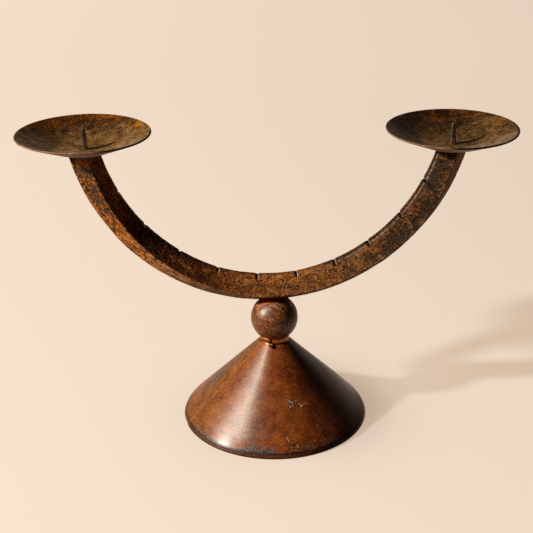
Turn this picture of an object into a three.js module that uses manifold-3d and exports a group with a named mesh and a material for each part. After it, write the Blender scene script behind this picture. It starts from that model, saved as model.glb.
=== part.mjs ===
// Double candle holder: a twisted, notched iron bow stands on a ball and a rolled sheet foot,
// and carries a shallow copper dish with a spike at each end.
// Millimetres, +Z up. x = 0 is midway between the dishes, y = 0 is the plane of the bow,
// and z = 0 is the table.

import * as THREE from 'three';
import { mergeVertices } from 'three/addons/utils/BufferGeometryUtils.js';
import Module from 'manifold-3d';

const wasm = await Module();
wasm.setup();

// Clearances
const seatGap = 0.3; // between a piece and the face it sits on
const pinGap = 0.3; // all round a pin in its hole

// Dishes
const dishSpacing = 274.4; // middle to middle
const dishRadius = 50;
const dishRimHeight = 240.2; // top of the rim above the table
const dishDepth = 12.8; // inside, rim to middle
const dishSeatRadius = 9; // flat middle that lies on the bar
const dishBendRadius = 17.5; // where the straight flank would meet the flat middle
const dishSheet = 1.3;

// Spikes, each forged in one piece with the tenon that holds its dish
const spikeHeight = 16;
const spikeBase = 3.7; // side of the square foot
const spikeTip = 0.9;
const spikeLean = 0.7; // both tips stand this far to the left of their feet
const spikeOffset = 1.1; // both stand this far to the right of their dish's middle
const tenonRadius = 1.6;
const tenonLength = 14;

// Bow, a square bar set on its corner, bent to half an ellipse and twisted along its length
const barSide = 18.6;
const barCornerFlat = 1.1; // worn width of the three outer corners
const barInnerFlat = 5.4; // planed width of the inner corner
const bowSemiHeight = 153.4; // upright half axis of the bar's centre line
const bowOffset = 0.6; // the bow stands this far to the right of the dishes' middle
const bowSkew = 2.8; // how far the lowest part of the bow hangs to the left
const bowLean = -10; // degrees that the section is turned at the middle
const bowTwist = 26.4; // degrees that the section turns from the right end to the left end
const bowTwistBend = 9.7; // degrees that both ends are turned on top of an even twist
const saddleDepth = 4.2; // how deep the bar's lower corner sinks into the ball

// File-cut notches in the planed corner
const notchCount = 10;
const notchPitch = 13.5; // degrees of the ellipse from one to the next
const notchShift = -2.5; // degrees from the middle of the bow to the middle of the row
const notchDepth = 2.8;
const notchWidth = 3.6;

// Foot, a rolled cone of sheet with a lapped seam and a beaded rim
const columnOffset = 3.8; // the column stands this far to the right of the dishes' middle
const footRadius = 74;
const footSheet = 1.2;
const coneTopRadius = 12;
const coneHeight = 66.5;
const skirtHeight = 4.2; // where the straight side would reach the foot's radius
const skirtBlend = 12.4; // length of the side that is rounded down into the skirt
const beadHeight = 2.4;
const beadProud = 0.5;
const lapWidth = 9; // degrees of overlap at the seam
const lapAngle = -160; // bearing of the seam's edge, from +X
const lapRamp = 12; // degrees over which the inner layer dips under the outer one
const topNotchAngle = -94; // bearing of the small vee in the cone's top edge
const topNotchWidth = 6;
const topNotchDepth = 2.2;

// Neck, a split strip of sheet that cups the ball
const collarOuterRadius = 11.8;
const collarWall = 1.5;
const collarHeight = 4.4;
const collarLand = 0.2; // flat left on top, outside the ball's seat
const collarSplit = 1.1; // width of the gap between the strip's ends
const collarSplitAngle = -104;

// Ball and its fastening
const ballRadius = 18.3;
const brazeWidth = 2; // how far the braze spreads past the bar
const brazeHeight = 0.8;
const studRadius = 4;
const studGrip = 14; // length held in the ball
const studTail = 3; // length below the nut
const washerRadius = 17;
const washerThickness = 2.5;
const nutAcrossFlats = 13;
const nutHeight = 6.5;

// Facets
const roundSteps = 48;
const pinSteps = 16;
const bowSteps = 66;

// Derived places
const dishFloorZ = dishRimHeight - dishDepth;
const bowEndX = dishSpacing / 2;
const bowEndZ = dishFloorZ - dishSheet - seatGap;
const collarFootZ = coneHeight + seatGap;
const collarTopZ = collarFootZ + collarHeight;
const ballSeatRadius = collarOuterRadius - collarLand;
const ballZ = collarTopZ + Math.sqrt((ballRadius + seatGap) ** 2 - ballSeatRadius ** 2);
const barHalfDiagonal = barSide * Math.SQRT1_2;
const bowBottomZ = ballZ + ballRadius + barHalfDiagonal - saddleDepth;
const bowCentreZ = bowBottomZ + bowSemiHeight;
const bowEndTurn = Math.asin((bowCentreZ - bowEndZ) / bowSemiHeight);
const bowSemiWidth = bowEndX / Math.cos(bowEndTurn);

const toRadians = THREE.MathUtils.degToRad;

// Solids and booleans

function signedVolume(geometry) {
  const place = geometry.attributes.position;
  const a = new THREE.Vector3();
  const b = new THREE.Vector3();
  const c = new THREE.Vector3();
  let total = 0;
  for (let i = 0; i < geometry.index.count; i += 3) {
    a.fromBufferAttribute(place, geometry.index.getX(i));
    b.fromBufferAttribute(place, geometry.index.getX(i + 1));
    c.fromBufferAttribute(place, geometry.index.getX(i + 2));
    total += a.dot(b.cross(c));
  }
  return total;
}

// Weld the shared vertices and turn every face outwards.
function closed(geometry) {
  geometry.deleteAttribute('normal');
  geometry.deleteAttribute('uv');
  const welded = mergeVertices(geometry, 1e-4);
  if (signedVolume(welded) < 0) {
    welded.setIndex(Array.from(welded.index.array).reverse());
  }
  return welded;
}

function toSolid(geometry) {
  const welded = closed(geometry);
  const vertProperties = Float32Array.from(welded.attributes.position.array);
  const triVerts = Uint32Array.from(welded.index.array);
  return new wasm.Manifold(new wasm.Mesh({ numProp: 3, vertProperties, triVerts }));
}

function toGeometry(solid) {
  const result = solid.getMesh();
  const geometry = new THREE.BufferGeometry();
  geometry.setAttribute('position', new THREE.BufferAttribute(Float32Array.from(result.vertProperties), 3));
  geometry.setIndex(Array.from(result.triVerts));
  return geometry;
}

// Skin a row of outlines that have equally many points, and cap both ends.
// flatOutline is the same outline in its own plane, for the triangles of the caps.
function loft(outlines, flatOutline) {
  const count = flatOutline.length;
  const last = (outlines.length - 1) * count;
  const index = [];
  for (let row = 0; row < last; row += count) {
    for (let k = 0; k < count; k += 1) {
      const a = row + k;
      const b = row + (k + 1) % count;
      index.push(a, b, b + count);
      index.push(a, b + count, a + count);
    }
  }
  const turn = Math.sign(THREE.ShapeUtils.area(flatOutline));
  for (const face of THREE.ShapeUtils.triangulateShape(flatOutline, [])) {
    const area = THREE.ShapeUtils.area(face.map((k) => flatOutline[k]));
    const [a, b, c] = Math.sign(area) === turn ? face : [...face].reverse();
    index.push(c, b, a);
    index.push(last + a, last + b, last + c);
  }
  const geometry = new THREE.BufferGeometry();
  const places = outlines.flat().flatMap((point) => point.toArray());
  geometry.setAttribute('position', new THREE.Float32BufferAttribute(places, 3));
  geometry.setIndex(index);
  return geometry;
}

// An upright cylinder that stands on z = bottom.
function uprightCylinder(radius, bottom, top, steps = pinSteps) {
  const geometry = new THREE.CylinderGeometry(radius, radius, top - bottom, steps);
  geometry.rotateX(Math.PI / 2);
  geometry.translate(0, 0, (bottom + top) / 2);
  return geometry;
}

// Turn a profile of (radius, height) points about the Z axis.
function turned(profile, steps = roundSteps) {
  const geometry = new THREE.LatheGeometry(profile, steps);
  geometry.rotateX(Math.PI / 2);
  return geometry;
}

// Shift each point of an open line sideways, to the left of its direction of travel.
function sideways(line, distance) {
  return line.map((point, k) => {
    const before = line[Math.max(k - 1, 0)];
    const after = line[Math.min(k + 1, line.length - 1)];
    const along = after.clone().sub(before).normalize();
    return new THREE.Vector2(point.x - along.y * distance, point.y + along.x * distance);
  });
}

// Bow

// Centre, direction of travel and section axes of the bar at a turn of the ellipse,
// where 0 degrees is its right-hand side, 90 its lowest point and 180 its left-hand side.
function bowPlace(turnDegrees) {
  const turn = toRadians(turnDegrees);
  const centre = new THREE.Vector3(
    bowOffset + bowSemiWidth * Math.cos(turn) - bowSkew * Math.sin(turn) ** 2,
    0,
    bowCentreZ - bowSemiHeight * Math.sin(turn),
  );
  const along = new THREE.Vector3(
    -bowSemiWidth * Math.sin(turn) - bowSkew * Math.sin(2 * turn),
    0,
    -bowSemiHeight * Math.cos(turn),
  ).normalize();
  const outward = new THREE.Vector3(-along.z, 0, along.x);
  const share = (turn - Math.PI / 2) / (Math.PI / 2 - bowEndTurn);
  const roll = toRadians(bowLean + bowTwist / 2 * share + bowTwistBend * share ** 2);
  const front = new THREE.Vector3(0, -1, 0);
  const outer = outward.clone().multiplyScalar(Math.cos(roll)).addScaledVector(front, Math.sin(roll));
  const face = front.clone().multiplyScalar(Math.cos(roll)).addScaledVector(outward, -Math.sin(roll));
  return { centre, along, outer, face };
}

// The square section on its corner: x points out of the bow and y to the front.
function barOutline(grow) {
  const reach = barHalfDiagonal + grow * Math.SQRT2;
  const worn = barCornerFlat / 2;
  const planed = barInnerFlat / 2;
  return [
    new THREE.Vector2(reach - worn, -worn),
    new THREE.Vector2(reach - worn, worn),
    new THREE.Vector2(worn, reach - worn),
    new THREE.Vector2(-worn, reach - worn),
    new THREE.Vector2(planed - reach, planed),
    new THREE.Vector2(planed - reach, -planed),
    new THREE.Vector2(-worn, worn - reach),
    new THREE.Vector2(worn, worn - reach),
  ];
}

function placeOutline(outline, place) {
  return outline.map((point) => place.centre.clone()
    .addScaledVector(place.outer, point.x)
    .addScaledVector(place.face, point.y));
}

// A stretch of the bar, made larger all round by grow.
function barStretch(fromTurn, toTurn, steps, grow) {
  const outline = barOutline(grow);
  const rows = [];
  for (let k = 0; k <= steps; k += 1) {
    const place = bowPlace(fromTurn + (toTurn - fromTurn) * k / steps);
    rows.push(placeOutline(outline, place));
  }
  return { rows, outline };
}

// Slide an end outline along the bar until all of it lies level at the given height.
function levelEnd(row, along, height) {
  return row.map((point) => point.clone().addScaledVector(along, (height - point.z) / along.z));
}

// A vee across the planed corner, a little wider and longer than what it cuts away.
function notchCutter(turnDegrees) {
  const place = bowPlace(turnDegrees);
  const flatReach = barHalfDiagonal - barInnerFlat / 2;
  const spare = 1;
  const halfMouth = notchWidth / 2 * (notchDepth + spare) / notchDepth;
  const halfLength = barInnerFlat / 2 + notchDepth + spare;
  const vee = [
    new THREE.Vector2(notchDepth - flatReach, 0),
    new THREE.Vector2(-flatReach - spare, halfMouth),
    new THREE.Vector2(-flatReach - spare, -halfMouth),
  ];
  const rows = [-halfLength, halfLength].map((side) => vee.map((point) => place.centre.clone()
    .addScaledVector(place.outer, point.x)
    .addScaledVector(place.along, point.y)
    .addScaledVector(place.face, side)));
  return loft(rows, vee);
}

function spikeX(side) {
  return side * dishSpacing / 2 + spikeOffset;
}

function makeBow() {
  const endDegrees = THREE.MathUtils.radToDeg(bowEndTurn);
  const { rows, outline } = barStretch(endDegrees, 180 - endDegrees, bowSteps, 0);
  rows[0] = levelEnd(rows[0], bowPlace(endDegrees).along, bowEndZ);
  rows[bowSteps] = levelEnd(rows[bowSteps], bowPlace(180 - endDegrees).along, bowEndZ);
  let bow = toSolid(loft(rows, outline));
  const firstNotch = 90 + notchShift - notchPitch * (notchCount - 1) / 2;
  for (let k = 0; k < notchCount; k += 1) {
    bow = bow.subtract(toSolid(notchCutter(firstNotch + k * notchPitch)));
  }
  for (const side of [-1, 1]) {
    const bore = uprightCylinder(tenonRadius + pinGap, bowEndZ - tenonLength - pinGap, bowEndZ + 1);
    bow = bow.subtract(toSolid(bore.translate(spikeX(side), 0, 0)));
  }
  return toGeometry(bow);
}

// Dishes and spikes

function makeDish() {
  const flankSlope = Math.atan(dishDepth / (dishRadius - dishBendRadius));
  const lipReach = dishSheet / 2 * (Math.sin(flankSlope) + Math.cos(flankSlope));
  const bendReach = dishBendRadius - dishSeatRadius;
  const bend = new THREE.QuadraticBezierCurve(
    new THREE.Vector2(dishSeatRadius, 0),
    new THREE.Vector2(dishBendRadius, 0),
    new THREE.Vector2(
      dishBendRadius + bendReach * Math.cos(flankSlope),
      bendReach * Math.sin(flankSlope),
    ),
  );
  const rim = new THREE.Vector2(dishRadius - lipReach, dishDepth);
  const inside = [new THREE.Vector2(0, 0), ...bend.getPoints(6), rim];
  const outside = sideways(inside, -dishSheet);
  outside[0].x = 0;
  const lip = rim.clone().lerp(outside[outside.length - 1], 0.5);
  lip.x += dishSheet / 2 * Math.cos(flankSlope);
  lip.y += dishSheet / 2 * Math.sin(flankSlope);
  const body = toSolid(turned([...inside, lip, ...outside.reverse()]));
  const hole = uprightCylinder(tenonRadius + pinGap, -dishSheet - 1, 1);
  return toGeometry(body.subtract(toSolid(hole.translate(spikeOffset, 0, 0))));
}

function makeSpike() {
  const square = [[1, 1], [-1, 1], [-1, -1], [1, -1]].map(([x, y]) => new THREE.Vector2(x, y));
  const rows = [];
  for (const share of [0, 0.3, 0.6, 0.85, 1]) {
    const half = (spikeTip + (spikeBase - spikeTip) * (1 - share) ** 0.9) / 2;
    rows.push(square.map((corner) => new THREE.Vector3(
      corner.x * half - spikeLean * share,
      corner.y * half,
      seatGap + spikeHeight * share,
    )));
  }
  const tenon = uprightCylinder(tenonRadius, -dishSheet - seatGap - tenonLength, seatGap + 1);
  return toGeometry(toSolid(loft(rows, square)).add(toSolid(tenon)));
}

// Foot and neck

// The outer side of the foot from its top edge down to the table, as (radius, height).
function footSide() {
  const top = new THREE.Vector2(coneTopRadius, coneHeight);
  const wall = footRadius - beadProud;
  const corner = new THREE.Vector2(wall, skirtHeight);
  const down = corner.clone().sub(top).normalize();
  const knee = corner.clone().addScaledVector(down, -skirtBlend);
  const blend = new THREE.QuadraticBezierCurve(knee, corner, new THREE.Vector2(wall, beadHeight));
  return [top, top.clone().lerp(knee, 0.5), ...blend.getPoints(5)];
}

function makeFoot() {
  const side = footSide();
  const wall = footRadius - beadProud;
  const steps = Math.round(roundSteps * 1.25);
  const sweep = 360 + lapWidth;
  const sheetLine = (lift) => {
    const outer = sideways(side, lift);
    const inner = sideways(side, lift - footSheet);
    const outerEnd = outer[outer.length - 1];
    const bead = [
      new THREE.Vector2(outerEnd.x + beadProud, beadHeight * 0.7),
      new THREE.Vector2(outerEnd.x + beadProud, beadHeight * 0.25),
      new THREE.Vector2(outerEnd.x + beadProud / 2, 0),
    ];
    const innerFoot = new THREE.Vector2(inner[inner.length - 1].x, 0);
    return [...outer, ...bead, innerFoot, ...inner.reverse()];
  };
  const rows = [];
  for (let k = 0; k <= steps; k += 1) {
    const turn = sweep * k / steps;
    const dip = THREE.MathUtils.smoothstep(turn, 360 - lapRamp, 360);
    const bearing = toRadians(lapAngle + turn);
    rows.push(sheetLine(-dip * (footSheet + seatGap)).map((point) => new THREE.Vector3(
      point.x * Math.cos(bearing),
      point.x * Math.sin(bearing),
      point.y,
    )));
  }
  const vee = new THREE.Shape();
  vee.moveTo(-topNotchWidth / 2, 0);
  vee.lineTo(0, -topNotchDepth);
  vee.lineTo(topNotchWidth / 2, 0);
  vee.lineTo(topNotchWidth / 2, topNotchDepth);
  vee.lineTo(-topNotchWidth / 2, topNotchDepth);
  const cutter = new THREE.ExtrudeGeometry(vee, { depth: coneTopRadius + 8, bevelEnabled: false });
  cutter.rotateX(Math.PI / 2);
  cutter.rotateZ(toRadians(topNotchAngle + 90));
  cutter.translate(0, 0, coneHeight);
  return toGeometry(toSolid(loft(rows, sheetLine(0))).subtract(toSolid(cutter)));
}

function ballSolid(grow) {
  const ball = new THREE.SphereGeometry(ballRadius + grow, roundSteps, roundSteps / 2);
  ball.rotateX(Math.PI / 2);
  ball.translate(0, 0, ballZ);
  return toSolid(ball);
}

// The bar near its lowest point, as the column sees it.
function barOverColumn(grow) {
  const { rows, outline } = barStretch(72, 108, 12, grow);
  return toSolid(loft(rows, outline).translate(-columnOffset, 0, 0));
}

function makeCollar() {
  const innerRadius = collarOuterRadius - collarWall;
  const strip = [
    new THREE.Vector2(innerRadius, collarFootZ),
    new THREE.Vector2(collarOuterRadius, collarFootZ),
    new THREE.Vector2(collarOuterRadius, collarTopZ),
    new THREE.Vector2(innerRadius, collarTopZ),
  ];
  const halfSplit = Math.asin(collarSplit / 2 / collarOuterRadius);
  const steps = roundSteps;
  const rows = [];
  for (let k = 0; k <= steps; k += 1) {
    const bearing = toRadians(collarSplitAngle) + halfSplit + (2 * Math.PI - 2 * halfSplit) * k / steps;
    rows.push(strip.map((point) => new THREE.Vector3(
      point.x * Math.cos(bearing),
      point.x * Math.sin(bearing),
      point.y,
    )));
  }
  return toGeometry(toSolid(loft(rows, strip)).subtract(ballSolid(seatGap)));
}

function makeBall() {
  const ballFoot = ballZ - ballRadius;
  const bore = uprightCylinder(studRadius + pinGap, ballFoot - 2, ballFoot + studGrip + pinGap);
  return toGeometry(ballSolid(0).subtract(barOverColumn(seatGap)).subtract(toSolid(bore)));
}

// A thin bead of brazing metal that lies on the ball along both sides of the bar.
function makeBraze() {
  const shell = ballSolid(seatGap + brazeHeight).subtract(ballSolid(seatGap));
  return toGeometry(shell.intersect(barOverColumn(seatGap + brazeWidth)).subtract(barOverColumn(seatGap)));
}

// Radius of the cone's inner face at a height on its straight side, where the sheet is doubled.
function coneInsideRadius(z) {
  const run = footRadius - beadProud - coneTopRadius;
  const fall = coneHeight - skirtHeight;
  const acrossSheet = (2 * footSheet + seatGap) * Math.hypot(run, fall) / fall;
  return coneTopRadius + (coneHeight - z) * run / fall - acrossSheet;
}

// Height at which a disc of the washer's radius meets the inside of the cone.
const washerTopZ = coneHeight - (washerRadius + seatGap - coneInsideRadius(coneHeight))
  / (coneInsideRadius(0) - coneInsideRadius(1));
const washerFootZ = washerTopZ - washerThickness;
const nutTopZ = washerFootZ - seatGap;
const nutFootZ = nutTopZ - nutHeight;

function makeWasher() {
  const disc = toSolid(uprightCylinder(washerRadius, washerFootZ, washerTopZ, roundSteps));
  const hole = toSolid(uprightCylinder(studRadius + pinGap, washerFootZ - 1, washerTopZ + 1));
  return toGeometry(disc.subtract(hole));
}

function makeNut() {
  const sides = 6;
  const cornerRadius = nutAcrossFlats / 2 / Math.cos(Math.PI / sides);
  const body = toSolid(uprightCylinder(cornerRadius, nutFootZ, nutTopZ, sides));
  const hole = toSolid(uprightCylinder(studRadius + pinGap, nutFootZ - 1, nutTopZ + 1));
  return toGeometry(body.subtract(hole));
}

function makeStud() {
  return closed(uprightCylinder(studRadius, nutFootZ - studTail, ballZ - ballRadius + studGrip));
}

// Finishes
const copper = { color: '#6f4322', roughness: 0.42, metalness: 0.85 };
const olivePatina = { color: '#4d3a1c', roughness: 0.55, metalness: 0.6 };
const rustedIron = { color: '#6e3d1a', roughness: 0.7, metalness: 0.45 };
const darkIron = { color: '#2e241f', roughness: 0.55, metalness: 0.7 };
const brightCopper = { color: '#b0622f', roughness: 0.4, metalness: 0.85 };
const plainSteel = { color: '#77736c', roughness: 0.45, metalness: 0.9 };

function piece(name, geometry, finish) {
  const mesh = new THREE.Mesh(geometry, new THREE.MeshStandardMaterial(finish));
  mesh.name = name;
  return mesh;
}

const column = new THREE.Group();
column.position.x = columnOffset;
column.add(piece('foot_cone', makeFoot(), copper));
column.add(piece('neck_collar', makeCollar(), brightCopper));
column.add(piece('neck_ball', makeBall(), rustedIron));
column.add(piece('saddle_braze', makeBraze(), brightCopper));
column.add(piece('foot_washer', makeWasher(), plainSteel));
column.add(piece('foot_nut', makeNut(), plainSteel));
column.add(piece('foot_stud', makeStud(), plainSteel));

const holder = new THREE.Group();
holder.add(column);
holder.add(piece('bow_arm', makeBow(), rustedIron));
for (const [name, side] of [['left', -1], ['right', 1]]) {
  const end = new THREE.Group();
  end.position.set(side * dishSpacing / 2, 0, dishFloorZ);
  const spike = piece(`${name}_spike`, makeSpike(), darkIron);
  spike.position.x = spikeOffset;
  end.add(piece(`${name}_dish`, makeDish(), olivePatina));
  end.add(spike);
  holder.add(end);
}

export default holder;
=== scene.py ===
import math
import bpy
import numpy as np
from mathutils import Matrix


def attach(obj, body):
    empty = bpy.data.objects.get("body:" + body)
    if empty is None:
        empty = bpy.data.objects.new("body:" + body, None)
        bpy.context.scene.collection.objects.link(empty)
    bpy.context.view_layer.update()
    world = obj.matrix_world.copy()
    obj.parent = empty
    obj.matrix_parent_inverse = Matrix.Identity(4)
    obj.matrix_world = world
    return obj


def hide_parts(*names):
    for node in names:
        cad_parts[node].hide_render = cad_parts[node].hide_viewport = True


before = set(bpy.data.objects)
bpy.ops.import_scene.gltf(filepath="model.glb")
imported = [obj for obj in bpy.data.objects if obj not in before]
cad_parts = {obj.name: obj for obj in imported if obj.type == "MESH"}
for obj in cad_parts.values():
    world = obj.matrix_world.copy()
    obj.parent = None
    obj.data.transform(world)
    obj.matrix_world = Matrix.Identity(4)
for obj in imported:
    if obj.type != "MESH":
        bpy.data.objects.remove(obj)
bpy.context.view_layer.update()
scene = bpy.context.scene
print("frame loaded:", len(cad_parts), "solids")

# All shapes below are worked out in millimetres, in the frame's own axes:
# x to the right, y to the back, z up from the table, x = 0 midway between the dishes.
metresPerMm = 0.001
perMm = 1000          # a texture's scale for features one millimetre across
lineFade = 3          # a line mark falls from 1 to 0 over this distance, and the finish cuts it sharply
dishSpacing = 274.4   # between the middles of the dishes
spikeOffset = 1.1     # each spike stands this far to the right of its dish's middle


# Small tools for shapes

def smoothStep(x, low, high):
    # 0 below low, 1 above high, and the usual 3t^2 - 2t^3 curve between them
    t = np.clip((x - low) / (high - low), 0, 1)
    return t * t * (3 - 2 * t)


def hill(x, middle, width):
    # 1 at the middle, falling off on both sides as exp(-t^2), where t is the distance over the width
    return np.exp(-((x - middle) / width) ** 2)


def wrapped(degrees):
    # the same angle between -180 and 180
    return (degrees + 180) % 360 - 180


def onCircle(radius, angle, z):
    # points (radius cos, radius sin, z) for arrays of any shapes that fit together
    return np.stack(np.broadcast_arrays(radius * np.cos(angle), radius * np.sin(angle), z), -1)


def roundMiddle(points):
    # how far each point is from the line x = y = 0, and its bearing round it in radians
    return np.hypot(points[..., 0], points[..., 1]), np.arctan2(points[..., 1], points[..., 0])


def lengthsAlong(line):
    # distance along a line of points, from its first point to each
    return np.concatenate([[0], np.cumsum(np.linalg.norm(np.diff(line, axis=0), axis=1))])


def cloudNoise(points, cell, seed):
    # -1..1: random numbers on the corners of a grid of cubes, blended smoothly inside each cube. The
    # large odd numbers scramble the bits of a corner's three whole coordinates.
    place = np.asarray(points, float) / cell
    corner = np.floor(place).astype(np.int64)
    inside = place - corner
    inside = inside * inside * (3 - 2 * inside)
    total = np.zeros(place.shape[:-1])
    for k in range(8):
        step = np.array([k & 1, k >> 1 & 1, k >> 2 & 1])
        x, y, z = np.moveaxis(corner + step + 4096, -1, 0).astype(np.uint64)
        code = (x * np.uint64(374761393) + y * np.uint64(668265263) + z * np.uint64(2246822519)
                + np.uint64(seed * 3266489917)) & np.uint64(0xffffffff)
        code = ((code ^ (code >> np.uint64(13))) * np.uint64(1274126177)) & np.uint64(0xffffffff)
        code = code ^ (code >> np.uint64(16))
        value = (code & np.uint64(0xffff)).astype(float) / 32767.5 - 1
        total += value * np.prod(np.where(step == 1, inside, 1 - inside), axis=-1)
    return total


def cloudSum(points, parts):
    # several cloud noises together, each given by its strength, its cell in millimetres and its seed
    return sum(strength * cloudNoise(points, cell, seed) for strength, cell, seed in parts)


def linesMark(points, lines, stray=0):
    # 1 on any of the lines, each of them a row of corners, falling evenly to 0 at the fade distance. What
    # is given as stray is added to the distance, which makes the mark ragged.
    nearest = np.full(points.shape[:-1], np.inf)
    for corners in lines:
        for a, b in zip(np.array(corners[:-1], float), np.array(corners[1:], float)):
            share = np.clip(((points - a) @ (b - a)) / ((b - a) @ (b - a)), 0, 1)
            away = np.linalg.norm(points - (a + (b - a) * share[..., None]), axis=-1)
            nearest = np.minimum(nearest, away)
    return np.clip(1 - (nearest + stray) / lineFade, 0, 1)


def spotsMark(points, spots, spread=1):
    # 1 at each spot, falling off round it as a hill of its reach times the spread; a spot is its place
    # and its reach
    mark = np.zeros(points.shape[:-1])
    for *middle, reach in spots:
        mark = np.maximum(mark, hill(np.linalg.norm(points - np.array(middle), axis=-1), 0, reach * spread))
    return mark


def gridFaces(rows, columns, roundRows=False):
    # four-cornered faces between neighbouring points of a grid that is stored row after row, whose last
    # column meets the first one, and whose last row meets the first one if it is asked for
    a, b = np.meshgrid(np.arange(rows if roundRows else rows - 1), np.arange(columns), indexing="ij")
    below = (a + 1) % rows
    right = (b + 1) % columns
    quads = [a * columns + b, a * columns + right, below * columns + right, below * columns + b]
    return np.stack(quads, -1).reshape(-1, 4)


def fanFaces(ring, centre, atStart):
    # triangles from a ring of points to one middle point, closing the first or the last row of a grid
    following = np.roll(ring, -1)
    pair = (following, ring) if atStart else (ring, following)
    return np.stack([pair[0], pair[1], np.full(len(ring), centre)], 1)


def cappedFaces(rows, columns):
    # a grid that goes round, closed at both ends by fans to the two points stored after it
    ring = np.arange(columns)
    return [gridFaces(rows, columns), fanFaces(ring, rows * columns, True),
            fanFaces(ring + (rows - 1) * columns, rows * columns + 1, False)]


def laidFlat(faceBlocks, rows, columns, rowPlace, columnPlace):
    # For each corner of each face its place on the flattened skin: (rowPlace, columnPlace) in
    # millimetres, where column 0 met from the last column counts as the end of the round. The fans
    # that close the ends lie where the end rows are.
    uvBlocks = []
    for block in faceBlocks:
        index = np.minimum(block, rows * columns - 1)
        row = index // columns
        column = index % columns
        wraps = (column.max(1) - column.min(1) > 1)[:, None] & (column == 0)
        column = np.where(wraps, columns, column)
        uvBlocks.append(np.stack([rowPlace[row], columnPlace[column]], -1))
    return uvBlocks


def makePiece(name, points, faceBlocks, material, nodes, sharpDegrees, marks=None, uvBlocks=None):
    # one closed shell; it is turned outwards by the sign of the volume that its faces enclose
    points = points.reshape(-1, 3)
    volume = 0.0
    for block in faceBlocks:
        for k in range(1, block.shape[1] - 1):
            a, b, c = points[block[:, 0]], points[block[:, k]], points[block[:, k + 1]]
            volume += np.einsum("ij,ij->", a, np.cross(b, c))
    if volume < 0:
        faceBlocks = [block[:, ::-1] for block in faceBlocks]
        uvBlocks = [block[:, ::-1] for block in uvBlocks] if uvBlocks else None
    mesh = bpy.data.meshes.new(name)
    faces = [face for block in faceBlocks for face in block.tolist()]
    mesh.from_pydata((points * metresPerMm).tolist(), [], faces)
    for markName, values in (marks or {}).items():
        layer = mesh.attributes.new(markName, "FLOAT", "POINT")
        layer.data.foreach_set("value", np.ascontiguousarray(values, np.float32).ravel())
    if uvBlocks:
        layer = mesh.uv_layers.new(name="laidFlat")
        flat = np.concatenate([block.reshape(-1, 2) for block in uvBlocks]) * metresPerMm
        layer.data.foreach_set("uv", np.ascontiguousarray(flat, np.float32).ravel())
    mesh.update()
    mesh.shade_smooth()
    mesh.set_sharp_from_angle(angle=math.radians(sharpDegrees))
    mesh.materials.append(material)
    piece = bpy.data.objects.new(name, mesh)
    scene.collection.objects.link(piece)
    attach(piece, "root")
    if nodes:
        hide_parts(*nodes)


# Small tools for materials

# The settings and the output that nodes of a kind have here, unless others are given. Their numbered
# inputs are: math a, b and c of a times b plus c; range value, from, to, lowest and highest; mix the
# share, and 6 and 7 for the two colours.
usualSettings = {
    "Math": {"operation": "MULTIPLY_ADD"},
    "MapRange": {"interpolation_type": "SMOOTHSTEP"},
    "Mix": {"data_type": "RGBA"},
}
usualOutput = {"Mix": 2, "Attribute": "Fac", "TexCoord": "Object"}
timesOf = {"operation": "MULTIPLY"}
sumOf = {"operation": "ADD"}
largerOf = {"operation": "MAXIMUM"}
evenly = {"interpolation_type": "LINEAR"}


def linear(hexText):
    # sRGB hex to the linear colour that the shaders want
    values = [int(hexText[k:k + 2], 16) / 255 for k in (1, 3, 5)]
    return [v / 12.92 if v <= 0.04045 else ((v + 0.055) / 1.055) ** 2.4 for v in values] + [1.0]


def add(tree, kind, inputs=None, settings=None, give=None, stops=None):
    # One node: its inputs as numbers, hex colours or links, its settings, and the stops of its ramp if
    # it has one. What comes back is the output with the name or number asked for, or the usual one.
    made = tree.nodes.new("ShaderNode" + kind)
    for key, value in {**usualSettings.get(kind, {}), **(settings or {})}.items():
        setattr(made, key, value)
    for key, value in (inputs or {}).items():
        if isinstance(value, bpy.types.NodeSocket):
            tree.links.new(value, made.inputs[key])
        else:
            made.inputs[key].default_value = linear(value) if isinstance(value, str) else value
    for k, (place, value) in enumerate(stops or []):
        row = made.color_ramp.elements
        stop = row[k] if k < 2 else row.new(place)
        stop.position = place
        stop.color = linear(value)
    if give is None:
        give = usualOutput.get(kind, 0)
    return made.outputs[give] if len(made.outputs) else None


def layOver(tree, colour, layers):
    # Lays tones over a colour, one after another. A layer is its tone, its source, low, high, most, and
    # perhaps a mask: its share grows from 0 to most as the source goes from low to high, times the mask.
    for tone, source, low, high, most, *masks in layers:
        share = add(tree, "MapRange", {0: source, 1: low, 2: high, 4: most})
        for mask in masks:
            share = add(tree, "Math", {0: share, 1: mask}, timesOf)
        colour = add(tree, "Mix", {0: share, 6: colour, 7: tone})
    return colour


def newMaterial(name):
    # a material with an empty node tree, and that tree
    made = bpy.data.materials.new(name)
    made.use_nodes = True
    made.node_tree.nodes.clear()
    return made, made.node_tree


def startFinish(name, clouds, markNames=()):
    # What a finish starts from: the place on the piece, its noises, each given by its size in
    # millimetres, detail, roughness and distortion, and the marks that the piece carries.
    made, tree = newMaterial(name)
    where = add(tree, "TexCoord")
    noises = [add(tree, "TexNoise", {"Vector": where, "Scale": perMm / size, "Detail": detail,
                                     "Roughness": roughness, "Distortion": distortion})
              for size, detail, roughness, distortion in clouds]
    marks = [add(tree, "Attribute", {}, {"attribute_name": markName}) for markName in markNames]
    return made, tree, where, noises, marks


def endFinish(made, tree, relief, sockets):
    # what a finish ends with: its relief, which is a height, its strength and its depth in metres, and
    # the shader with the rest of its sockets
    height, strength, depth = relief
    bump = add(tree, "Bump", {"Height": height, "Strength": strength, "Distance": depth})
    shader = add(tree, "BsdfPrincipled", {"Normal": bump, **sockets})
    add(tree, "OutputMaterial", {"Surface": shader})
    return made


# Camera

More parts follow.
